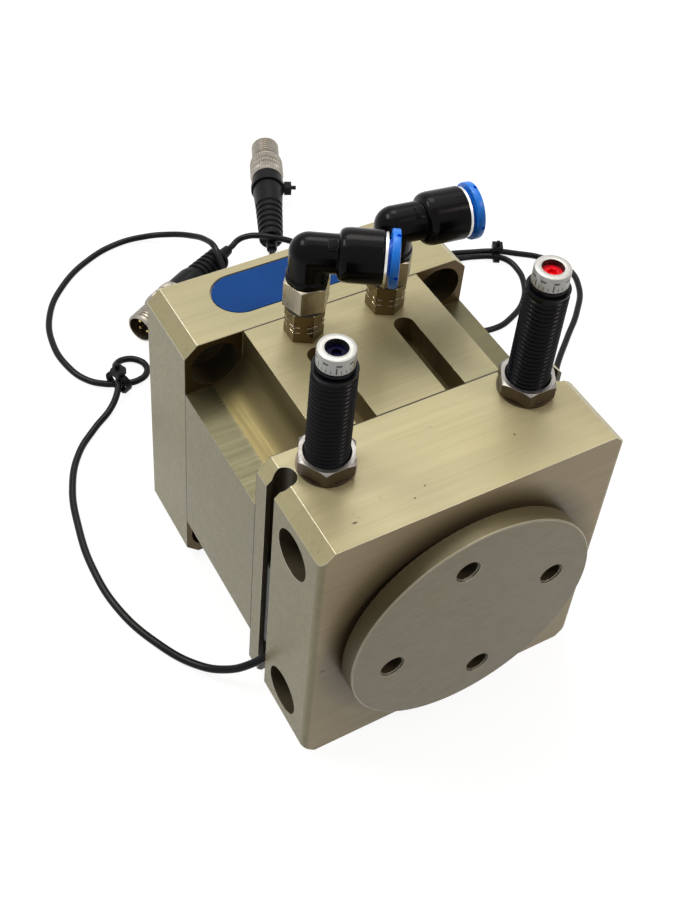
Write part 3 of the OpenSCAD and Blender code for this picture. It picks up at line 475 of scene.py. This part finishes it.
def coil(bm, section, pitch, turns, z0):
    """Adds a closed screw thread of a section of (radius, height) in mm, from z0 up."""
    first = [bm.verts.new(mm(r, 0, z0 + z)) for r, z in section]
    edges = [bm.edges.new(pair) for pair in zip(first, first[1:] + first[:1])]
    before = set(bm.verts) - set(first)
    bmesh.ops.spin(
        bm, geom=first + edges, cent=(0, 0, 0), axis=(0, 0, 1),
        dvec=mm(0, 0, pitch / COIL_STEPS), angle=math.tau, steps=COIL_STEPS
    )
    turn = [v for v in bm.verts if v not in before]
    turn_edges = {e for v in turn for e in v.link_edges}
    turn_faces = {f for v in turn for f in v.link_faces}
    geometry = turn + list(turn_edges) + list(turn_faces)
    for k in range(1, turns):
        copied = bmesh.ops.duplicate(bm, geom=geometry)["geom"]
        verts = [g for g in copied if isinstance(g, bmesh.types.BMVert)]
        bmesh.ops.translate(bm, vec=mm(0, 0, k * pitch), verts=verts)
    thread = [v for v in bm.verts if v not in before]
    bmesh.ops.remove_doubles(bm, verts=thread, dist=WELD / 2)
    bmesh.ops.holes_fill(bm, edges=[e for e in bm.edges if e.is_boundary], sides=len(section))


def moved(bm, matrix):
    bmesh.ops.transform(bm, matrix=matrix, verts=bm.verts)
    return bm


def at(x, y, z):
    return Matrix.Translation(mm(x, y, z))


def lying(x, y, z, turn):
    """From a piece drawn along +Z to the same piece along +X, turned round Z, at a place in mm."""
    return (
        at(x, y, z) @ Matrix.Rotation(math.radians(turn), 4, "Z")
        @ Matrix.Rotation(math.radians(90), 4, "Y")
    )


# ------------------------------------------------------------ leads

LEAD_R = 1.25
SENSOR_X, SENSOR_Y, SENSOR_FOOT = 43.4, -26.1, 20
# Each plug's tail and its height, the way it points, its body's length, and how the lead enters it.
PLUG_Z = 7.2
PLUG_AT = {"left": (44, 144), "right": (28, 151.5)}
PLUG_TURN = {"left": 65.3, "right": 208.5}
PLUG_BODY = {"left": 46, "right": 34}
BEFORE_PLUG, INTO_PLUG = 2.6, 14
# How far out of the sensor's foot and how far down the lead's first points are.
LEAD_BEND = ((0, 0), (0, 1.4), (0.4, 3.5), (1.4, 5.3), (3, 6.6))

# The points of each lead between its bend under the sensor and its plug.
ROUTES = {
    "left": [
        (-50.4, -25.2, 10.9), (-56.5, -20.6, 5.6), (-63, -13, 2.2), (-70.5, 0, 1.4),
        (-76, 16, 1.3), (-77.5, 34, 1.3), (-75.5, 52, 1.3), (-71, 69, 1.3), (-63.5, 82, 1.3),
        (-54, 90.5, 1.4), (-46, 96, 2), (-41.3, 100.8, 3.6), (-38.4, 106.2, 4.9),
        (-37.2, 111.2, 3.9), (-35.9, 115.2, 2.6), (-31.6, 117.2, 1.6), (-27.4, 115.1, 1.4),
        (-25.7, 110.9, 1.4), (-27.3, 106.9, 1.6), (-31, 104.9, 1.9), (-35.2, 104.9, 2.1),
        (-38.6, 106, 2.2), (-43, 108.4, 1.9), (-48, 113.5, 1.4), (-51.8, 123, 1.3),
        (-52.5, 137, 1.3), (-48, 152, 1.3), (-38, 165, 1.3), (-23, 175.5, 1.3), (-8, 180, 1.4),
        (3, 178.4, 2.3), (11.5, 172.5, 5), (17.2, 163.5, 9.2), (19.6, 154.6, 13),
        (20, 147.5, 14.6), (19.4, 140.4, 12.2), (19.2, 132.6, 7.2), (21.6, 125.8, 3.2),
        (26.6, 121.6, 1.8), (32.6, 122.6, 2.2), (37.6, 128.2, 4),
    ],
    "right": [
        (50.4, -25.2, 10.9), (57, -20.6, 5.2), (65, -12.8, 2.1), (82, 6, 1.4), (98, 25, 1.3),
        (114, 43, 1.3), (128, 55, 1.3), (140, 65, 1.3), (150, 77, 1.3), (152.5, 88, 1.3),
        (146.5, 98.5, 1.3), (138, 105, 1.6), (130.7, 109, 2.3), (122, 113.3, 1.6),
        (110, 117, 1.3), (98, 115.5, 1.3), (89, 108, 1.3), (85.5, 97, 1.3), (87.5, 84, 1.3),
        (95, 74.5, 1.3), (105, 71.5, 1.3), (115, 74, 1.3), (124.5, 80, 1.3), (131, 89, 1.3),
        (133.2, 97, 1.4), (132.2, 102.6, 1.9), (128.8, 106, 2.3), (122, 110.2, 1.6),
        (113, 112.2, 2), (104, 112.6, 3.2), (94.5, 112.6, 4.2), (85, 115, 3), (76, 121.4, 2.2),
        (67, 131, 3), (59, 138.8, 6), (51.6, 143.6, 9.6), (45.4, 146.6, 11.2), (41.4, 150, 11),
        (37.5, 153, 9.8), (33.8, 154.1, 8.3),
    ],
}


def lead_points(name):
    """The whole route, from the sensor's foot to the end inside the plug."""
    x, y = PLUG_AT[name]
    turn = math.radians(PLUG_TURN[name])
    bend = [
        (SIDES[name] * (SENSOR_X + out), SENSOR_Y, SENSOR_FOOT - down) for out, down in LEAD_BEND
    ]
    end = [
        (x + along * math.cos(turn), y + along * math.sin(turn), PLUG_Z)
        for along in (-BEFORE_PLUG, 0, INTO_PLUG)
    ]
    return bend + ROUTES[name] + end


def lead(name):
    """A lead as a round smooth curve that stands for its plain CAD tube."""
    line = bpy.data.curves.new("lead_" + name, "CURVE")
    line.dimensions = "3D"
    line.bevel_depth = LEAD_R * MM
    line.bevel_resolution = 4
    line.resolution_u = 8
    line.use_fill_caps = True
    spline = line.splines.new("BEZIER")
    points = lead_points(name)
    spline.bezier_points.add(len(points) - 1)
    for knot, place in zip(spline.bezier_points, points):
        knot.co = mm(*place)
        knot.handle_left_type = knot.handle_right_type = "AUTO"
    piece = bpy.data.objects.new(f"lead_{name}_cable", line)
    bpy.context.scene.collection.objects.link(piece)
    line.materials.append(black_lead)
    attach(piece, "housing")
    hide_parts("lead_" + name)
    return piece


leads = {name: lead(name) for name in SIDES}

# ------------------------------------------------------------ body parts

# Places and sizes in mm of the hollows, and how far past them their faces are looked for.
SLACK = 0.03
UNDER_SKIN = HALF_WIDTH - 0.5
SIDE_HOLE_Y, SIDE_HOLE_Z, SIDE_HOLE_R = FRONT_Y + 14.1, 32.5, 7.4
SLOT_BORE_R, SLOT_HALF_W = 3.3, 2.25
GROOVE_X, GROOVE_HALF_W, GROOVE_L, GROOVE_FLOOR = 14.3, 3.2, 30.5, 38
MOUNT_HOLE_X, MOUNT_HOLE_R = 38, 7.75
PLATE_HALF_L, PLATE_HALF_W, PLATE_Y = 32.4, 9.2, REAR_Y - 11.5
COVE_INNER, COVE_OUTER, COVE_FACE = 29, HALF_WIDTH - 0.3, 29.4
TAP_CIRCLE_R, TAP_R = 26.2, 3.4


# Places on the body. x and z are distances from its axis, so each holds at all sides alike.

def side_hole(x, y, z):
    return x < UNDER_SKIN and math.hypot(y - SIDE_HOLE_Y, z - SIDE_HOLE_Z) < SIDE_HOLE_R + SLACK


def sensor_slot(x, y, z):
    keyhole = math.hypot(x - SENSOR_X, y - SENSOR_Y) < SLOT_BORE_R + SLACK
    slot = x > SENSOR_X and abs(y - SENSOR_Y) < SLOT_HALF_W + SLACK
    return z < UNDER_SKIN and x < UNDER_SKIN and (keyhole or slot)


def sensor_groove(x, y, z):
    across = abs(x - GROOVE_X) < GROOVE_HALF_W + SLACK
    along = SEAM_FRONT < y < SEAM_FRONT + GROOVE_L + SLACK
    return GROOVE_FLOOR < z < UNDER_SKIN and across and along


def mounting_hole(x, y, z):
    across = math.hypot(x - MOUNT_HOLE_X, z - MOUNT_HOLE_X) < MOUNT_HOLE_R + SLACK
    return across and SEAM_REAR + 0.5 < y < REAR_Y - 0.5


def name_recess(x, y, z):
    return z > HALF_WIDTH - 1 and x < PLATE_HALF_L and abs(y - PLATE_Y) < PLATE_HALF_W


def front_face(x, y, z):
    return y < FRONT_Y + 0.05


def side_face(x, y, z):
    return x > HALF_WIDTH - 0.1


def cove(x, y, z):
    return COVE_INNER - 0.1 < x < COVE_OUTER and COVE_INNER < z < COVE_OUTER


def cove_floor(x, y, z):
    return cove(x, y, z) and z < COVE_INNER + 0.6


def cove_end(x, y, z):
    return x > COVE_INNER and z > COVE_INNER and y < SEAM_REAR + 0.1


def flange_hole(x, y, z):
    across = abs(math.hypot(x, z) - TAP_CIRCLE_R) < TAP_R + 0.2
    return across and FLANGE_FRONT + 0.2 < y < FLANGE_FRONT + 5.7


def flange_rim(x, y, z):
    return math.hypot(x, z) > FLANGE_R - 0.3 and y > FLANGE_FRONT + 0.2


# Planes that part the rear plate's front face where the coves end.
COVE_EDGES = [
    ((-COVE_FACE, 0, 0), (1, 0, 0)), ((COVE_FACE, 0, 0), (1, 0, 0)),
    ((0, 0, AXIS_Z - COVE_FACE), (0, 0, 1)), ((0, 0, AXIS_Z + COVE_FACE), (0, 0, 1)),
]
# Each piece's body, finish, broken edge in mm and cuts, and its parts with a finish of their own.
BODY_PIECES = {
    "front_block": ("housing", body_finish, 0.3, (), [
        (bore_shade, [side_hole, sensor_slot], (FLATS, EDGES)),
        (front_side_shaded, [side_face], (FLATS,)),
        (front_lit_finish, [front_face], (FLATS,)),
    ]),
    "middle_housing": ("housing", housing_finish, 0.3, (), [
        (groove_shade, [sensor_groove], (FLATS, EDGES)),
        (housing_side_shaded, [side_face], (FLATS,)),
        (cove_floor_shaded, [cove_floor], (FLATS,)),
        (cove_shaded, [cove], (FLATS,)),
    ]),
    "rear_plate": ("housing", rear_finish, 0.3, COVE_EDGES, [
        (bore_shade, [mounting_hole], (FLATS, EDGES)),
        (cove_end_shaded, [cove_end], (FLATS,)),
        (bore_shade, [name_recess], (EDGES,)),
    ]),
    "output_flange": ("rotor", flange_finish, 0.2, (), [
        (rim_shaded, [flange_rim], (FLATS,)),
        (bore_shade, [flange_hole], (FLATS,)),
    ]),
}
for node, (body, own, width, cuts, parts) in BODY_PIECES.items():
    piece = eased(
        node, body, own, width=width, edge_highlight=edge_highlight, cuts=cuts
    )
    for finish, places, kinds in parts:
        finish_part(piece, finish, places, kinds)
eased("nameplate", "housing", plate_finish, width=0.12)

# ------------------------------------------------------------ shock absorbers

ABSORBER_FOOT = 62
NECK_H, NECK_R = 1.4, 5.2
COLLAR_H = 0.6
CREST_R, ROOT_R = 6.0, 5.38
THREAD_START, THREAD_PITCH = 0.4, 1.5
# One turn of the thread as (radius, height).
THREAD = [
    (ROOT_R - 0.06, 0.10), (ROOT_R + 0.16, 0.26), (CREST_R - 0.08, 0.56), (CREST_R, 0.66),
    (CREST_R, 0.80), (CREST_R - 0.08, 0.90), (ROOT_R + 0.16, 1.20), (ROOT_R - 0.06, 1.36),
]
PISTON_R, ROD_BORE_R = 4.2, 2.05
CHAMBER_FLOOR, CHAMBER_TOP = 5, 46
KNOB_R, KNOB_H, KNOB_BORE_R, KNOB_FLOOR = 5, 5, 2.9, 1.8
STEM_DEPTH = 2
# Faces of a nut whose normal rises more than this belong to its top, painted lighter as lit.
NUT_TOP_TILT = 0.35


def absorber(name):
    """Threaded cylinder with its piston chamber and rod bore."""
    foot, top = ABSORBER_FOOT, ABSORBER_TOP
    neck = top - NECK_H
    chamber_floor, chamber_top = foot + CHAMBER_FLOOR, foot + CHAMBER_TOP
    bm = turned([
        (ROD_BORE_R, foot), (ROOT_R - 0.5, foot), (ROOT_R, foot + 0.5),
        (ROOT_R, neck - COLLAR_H - 0.3), (CREST_R - 0.1, neck - COLLAR_H - 0.15),
        (CREST_R, neck - COLLAR_H), (CREST_R, neck - 0.15), (CREST_R - 0.15, neck),
        (NECK_R, neck), (NECK_R, top - 0.1), (NECK_R - 0.1, top),
        (KNOB_BORE_R, top), (KNOB_BORE_R, top - STEM_DEPTH), (ROD_BORE_R, top - STEM_DEPTH),
        (ROD_BORE_R, chamber_top), (PISTON_R, chamber_top),
        (PISTON_R, chamber_floor), (ROD_BORE_R, chamber_floor),
    ], steps=48)
    threaded = neck - COLLAR_H - foot - THREAD_START
    coil(bm, THREAD, THREAD_PITCH, int(threaded / THREAD_PITCH) - 1, foot + THREAD_START)
    moved(bm, at(SIDES[name] * ABSORBER_X, ABSORBER_Y, STOP_OFFSET[name]))
    return lay_down(
        f"absorber_{name}_threaded", bm, "housing", black_oxide,
        [f"absorber_{name}"], angle=38
    )


def knob(name):
    """Adjuster knob with a rounded rim and a blind bore."""
    r, bore, top = KNOB_R, KNOB_BORE_R, KNOB_H
    bm = turned([
        (0, 0), (r - 0.25, 0), (r, 0.25), (r, top - 0.5), (r - 0.15, top - 0.15), (r - 0.45, top),
        (bore + 0.35, top), (bore + 0.1, top - 0.1), (bore, top - 0.4), (bore, KNOB_FLOOR),
        (0, KNOB_FLOOR),
    ], steps=72, closed=False)
    moved(bm, at(SIDES[name] * ABSORBER_X, ABSORBER_Y, ABSORBER_TOP + STOP_OFFSET[name]))
    return lay_down(
        f"knob_{name}_marked", bm, f"knob_{name}", knob_finish[name],
        [f"knob_{name}"]
    )


for name in SIDES:
    absorber(name)
    knob(name)
    nut = eased(f"lock_nut_{name}", "housing", steel_finish, width=0.16, angle=20)
    nut.data.materials.append(nut_top_lit)
    for face in nut.data.polygons:
        face.material_index = 1 if face.normal.z > NUT_TOP_TILT else 0

# ------------------------------------------------------------ air fittings

PORT_X, PORT_Y, OUTLET_Z = 13.5, 19.45, 125
ELBOW_TURN = {"left": -32, "right": -8.7}
# Sizes along the outlet and radii of the socket's mouth, the release collar and its sleeve.
SOCKET_END = 20.5
COLLAR_START, COLLAR_END, COLLAR_R = 22.1, 24.5, 8.3
SLEEVE_START, SLEEVE_R, TUBE_R = 15.6, 5.15, 4.05
COLLAR_STEPS = 96
NOTCH_DEPTH, NOTCH_HALF_ANGLE = 0.7, 360 / COLLAR_STEPS
# Moulded marks on the socket: the way they face, the ticks and the pad on the neck.
MARKS_TURN = 205
TICK_TURNS = (-12, -4, 4, 12)
TICK_SIZE, TICK_R, TICK_PLACE = (0.16, 0.35, 2.2), 7.68, SOCKET_END - 1.9
PAD_SIZE, PAD_R, PAD_PLACE, PAD_EDGE = (0.5, 3.6, 2.4), 5.5, 6.3, 0.15


def outlet(name):
    """From a piece drawn along +Z to its place along the outlet."""
    return lying(SIDES[name] * PORT_X, PORT_Y, OUTLET_Z, ELBOW_TURN[name])


def collar(name):
    """Release collar with four grip notches in its rim."""
    a, b, r, bore = COLLAR_START, COLLAR_END, COLLAR_R, TUBE_R
    bm = turned([
        (bore, SLEEVE_START), (SLEEVE_R, SLEEVE_START), (SLEEVE_R, a), (r - 0.45, a),
        (r - 0.12, a + 0.12), (r, a + 0.45), (r, a + 1.2), (r, b - 0.45), (r - 0.12, b - 0.12),
        (r - 0.45, b), (bore + 0.9, b), (bore + 0.3, b - 0.15), (bore, b - 0.6),
    ], steps=COLLAR_STEPS)
    notches = []
    for face in bm.faces:
        x, y, z = face.calc_center_median() / MM
        turn = math.degrees(math.atan2(y, x)) % 90
        rim = math.hypot(x, y) > r - 0.1 and z > a + 1.2
        if rim and min(turn, 90 - turn) < NOTCH_HALF_ANGLE:
            notches.append(face)
    sunk = bmesh.ops.extrude_face_region(bm, geom=notches)
    bmesh.ops.delete(bm, geom=notches, context="FACES_KEEP_BOUNDARY")
    for v in sunk["geom"]:
        if isinstance(v, bmesh.types.BMVert):
            v.co -= Vector((v.co.x, v.co.y, 0)).normalized() * NOTCH_DEPTH * MM
    moved(bm, outlet(name))
    return lay_down(
        f"release_collar_{name}_notched", bm, f"collar_{name}", blue_collar,
        [f"release_collar_{name}"]
    )


def block(bm, size, radius, place, turn):
    """Adds a block of a size in mm, at a radius and a place along Z, turned round Z."""
    made = bmesh.ops.create_cube(bm, size=1 * MM)["verts"]
    bmesh.ops.scale(bm, vec=size, verts=made)
    bmesh.ops.translate(bm, vec=mm(radius, 0, place), verts=made)
    about = Matrix.Rotation(math.radians(turn), 3, "Z")
    bmesh.ops.rotate(bm, cent=(0, 0, 0), matrix=about, verts=made)
    return made


def socket_marks(name):
    """A raised pad on the neck and four moulded ticks at the mouth of the socket."""
    bm = bmesh.new()
    for turn in TICK_TURNS:
        block(bm, TICK_SIZE, TICK_R, TICK_PLACE, turn + MARKS_TURN)
    pad = block(bm, PAD_SIZE, PAD_R, PAD_PLACE, MARKS_TURN)
    edges = {e for v in pad for e in v.link_edges}
    bmesh.ops.bevel(
        bm, geom=list(edges), offset=PAD_EDGE * MM, affect="EDGES",
        segments=2, profile=0.5, material=-1
    )
    moved(bm, outlet(name))
    return lay_down(f"elbow_{name}_marks", bm, f"elbow_{name}", black_elbow)


for name in SIDES:
    eased(f"elbow_{name}", f"elbow_{name}", black_elbow, width=0.22)
    collar(name)
    socket_marks(name)
    eased(
        f"port_adapter_{name}", "housing", adapter_finish,
        width=0.14, angle=24, edge_highlight=brass_edge_glint
    )
    eased(f"fitting_stem_{name}", "housing", nickel_finish, width=0.18, angle=24)

# ------------------------------------------------------------ plugs

RING_R, RING_L, RING_THREAD_R, RING_THREAD_L = 7.1, 12, 5.9, 11
PLUG_R, RING_SEAT = 6.3, 3
KNURLS, KNURL_DEPTH = 40, 0.42
BAND_R, LAND_R = RING_R - 0.7, RING_R - 0.25
GRIP_EDGE = 1.6
TIP_PITCH, TIP_DEPTH, TIP_BORE_R = 1.4, 0.55, RING_THREAD_R - 1


def tip_thread(start, end):
    """Ridges of the fine thread between two places along the plug, as (radius, place)."""
    root, profile = RING_THREAD_R - TIP_DEPTH, []
    while start < end:
        profile += [
            (root, start), (root, start + 0.45),
            (RING_THREAD_R, start + 0.75), (RING_THREAD_R, start + 1.1),
        ]
        start += TIP_PITCH
    return profile


def coupling_ring(name):
    """Knurled sleeve with two bands round its grip and a fine outer thread on its tip."""
    start = PLUG_BODY[name]
    grip_end = start + RING_L
    tip = grip_end + RING_THREAD_L
    neck_r = RING_THREAD_R - TIP_DEPTH - 0.1
    bands = []
    for third in (1, 2):
        z = start + GRIP_EDGE + third * (RING_L - 2 * GRIP_EDGE) / 3
        bands += [(RING_R, z - 0.6), (BAND_R, z - 0.35), (BAND_R, z + 0.35), (RING_R, z + 0.6)]
    bm = turned([
        (PLUG_R, start), (BAND_R, start), (LAND_R, start + 0.4),
        (LAND_R, start + GRIP_EDGE - 0.2), (RING_R, start + GRIP_EDGE), *bands,
        (RING_R, grip_end - GRIP_EDGE), (LAND_R, grip_end - GRIP_EDGE + 0.2),
        (LAND_R, grip_end - 0.4), (RING_R - 0.6, grip_end), (neck_r, grip_end),
        (neck_r, grip_end + 1.2), (RING_THREAD_R, grip_end + 1.5),
        *tip_thread(grip_end + 2, tip - 1.2),
        (RING_THREAD_R, tip - 0.6), (RING_THREAD_R - 0.5, tip), (TIP_BORE_R, tip),
        (TIP_BORE_R, start + RING_SEAT), (PLUG_R, start + RING_SEAT),
    ], steps=2 * KNURLS)
    for v in bm.verts:
        x, y, _ = v.co / MM
        step = round(math.degrees(math.atan2(y, x)) / (180 / KNURLS))
        if math.hypot(x, y) > RING_R - 0.05 and step % 2:
            v.co.x *= 1 - KNURL_DEPTH / RING_R
            v.co.y *= 1 - KNURL_DEPTH / RING_R
    moved(bm, lying(*PLUG_AT[name], PLUG_Z, PLUG_TURN[name]))
    return lay_down(
        f"coupling_ring_{name}_knurled", bm, "housing", ring_finish,
        [f"coupling_ring_{name}"], angle=20
    )


plug_pieces = {
    name: [
        coupling_ring(name),
        eased(f"plug_body_{name}", "housing", black_plug, width=0.14, angle=30),
    ]
    for name in SIDES
}

# ------------------------------------------------------------ finishes of the plain nodes

FINISH_OF = {
    "champagne_anodised": body_finish,
    "nameplate_blue": plate_finish,
    "dark_steel": tool_steel,
    "rod_chrome": chrome_finish,
    "absorber_black": black_oxide,
    "knob_aluminium": ring_finish,
    "insert_blue": blue_insert,
    "insert_red": red_insert,
    "nickel": nickel_finish,
    "seal_rubber": rubber_finish,
    "elbow_black": black_elbow,
    "collar_blue": blue_collar,
    "sensor_black": sensor_finish,
    "lead_black": black_lead,
    "plug_black": black_plug,
    "pin_gold": gold_finish,
}
NODE_FINISH = {
    "lock_nut_left": steel_finish, "lock_nut_right": steel_finish, "nut_washers": steel_finish,
    "socket_ring_left": mouth_finish, "socket_ring_right": mouth_finish,
    "coupling_ring_left": ring_finish, "coupling_ring_right": ring_finish,
    "lead_tie_left": black_tie, "lead_tie_right": black_tie, "plug_tie": black_tie,
}
slot_of = {s["node"]: s["material_slot"] for s in frame["record"]["subparts"]}
for name, node in frame["nodes"].items():
    finish = NODE_FINISH.get(name) or FINISH_OF[slot_of[name]]
    node.data.materials.clear()
    node.data.materials.append(finish)

# ------------------------------------------------------------ stage

FLOOR_SIZE = 6.0
FLOOR_GREY = (0.20, 0.20, 0.20)
FLOOR_GLOW = 0.92
ROOM_LIGHT = 0.06
WHITE = (1, 1, 1, 1)
TARGET = (0, 0, 0.05)
# Each lamp's name, place and size in metres, power in watts and colour.
LAMPS = [
    ("soft_top", (0.10, 0.75, 2.2), (3.0, 2.2), 25, (1.0, 0.99, 0.92)),
    ("key", (0.38, 1.03, 2.0), (0.9, 0.8), 12, (1.0, 0.98, 0.90)),
    ("streak", (-1.0, 0.95, 1.95), (0.9, 0.5), 17, (1.0, 0.98, 0.90)),
    ("left_fill", (-1.3, 0.1, 0.45), (0.8, 0.8), 0.1, (0.90, 0.90, 1.0)),
    ("front_glint", (0.45, -0.45, 0.80), (0.22, 0.22), 1.7, (1.0, 0.86, 0.76)),
]


def seen_or_mirrored(tree, low, high):
    """A socket that is high for rays from the camera, a mirror or glass, and low for the rest."""
    path = tree.nodes.new("ShaderNodeLightPath")
    total = path.outputs["Is Camera Ray"]
    for kind in ("Is Glossy Ray", "Is Transmission Ray"):
        both = tree.nodes.new("ShaderNodeMath")
        both.operation = "ADD"
        tree.links.new(total, both.inputs[0])
        tree.links.new(path.outputs[kind], both.inputs[1])
        total = both.outputs[0]
    level = tree.nodes.new("ShaderNodeMapRange")
    level.clamp = True
    level.inputs["To Min"].default_value = low
    level.inputs["To Max"].default_value = high
    tree.links.new(total, level.inputs["Value"])
    return level.outputs["Result"]


def stage_plane():
    """A pale floor that glows white to the camera and keeps the object's shadow."""
    bm = bmesh.new()
    bmesh.ops.create_grid(bm, x_segments=1, y_segments=1, size=FLOOR_SIZE / 2)
    mesh = bpy.data.meshes.new("floor")
    bm.to_mesh(mesh)
    bm.free()
    floor = bpy.data.objects.new("floor", mesh)
    bpy.context.scene.collection.objects.link(floor)
    paper = Finish("floor_white", FLOOR_GREY, 0.9).set(Specular_IOR_Level=0.0, Emission_Color=WHITE)
    glow = seen_or_mirrored(paper.tree, 0, FLOOR_GLOW)
    paper.join(glow, paper.surface.inputs["Emission Strength"])
    mesh.materials.append(paper.material)


def lamp(name, place, size, power, colour):
    """A soft rectangular lamp that faces the object."""
    light = bpy.data.lights.new(name, "AREA")
    light.energy = power
    light.shape = "RECTANGLE"
    light.size, light.size_y = size
    light.color = colour
    holder = bpy.data.objects.new(name, light)
    holder.location = place
    aim = Vector(TARGET) - Vector(place)
    holder.rotation_euler = aim.to_track_quat("-Z", "Y").to_euler()
    bpy.context.scene.collection.objects.link(holder)


stage_plane()
for settings in LAMPS:
    lamp(*settings)

world = bpy.data.worlds.new("room")
bpy.context.scene.world = world
world.use_nodes = True
room = world.node_tree
background = room.nodes["Background"]
background.inputs["Color"].default_value = WHITE
room.links.new(seen_or_mirrored(room, ROOM_LIGHT, 1.0), background.inputs["Strength"])

# ------------------------------------------------------------ cords and the end

for name, piece in leads.items():
    on_it = [frame["nodes"][f"{part}_{name}"] for part in ("plug_insert", "plug_pins", "lead_tie")]
    on_it += plug_pieces[name]
    if name == "left":
        on_it.append(frame["nodes"]["plug_tie"])
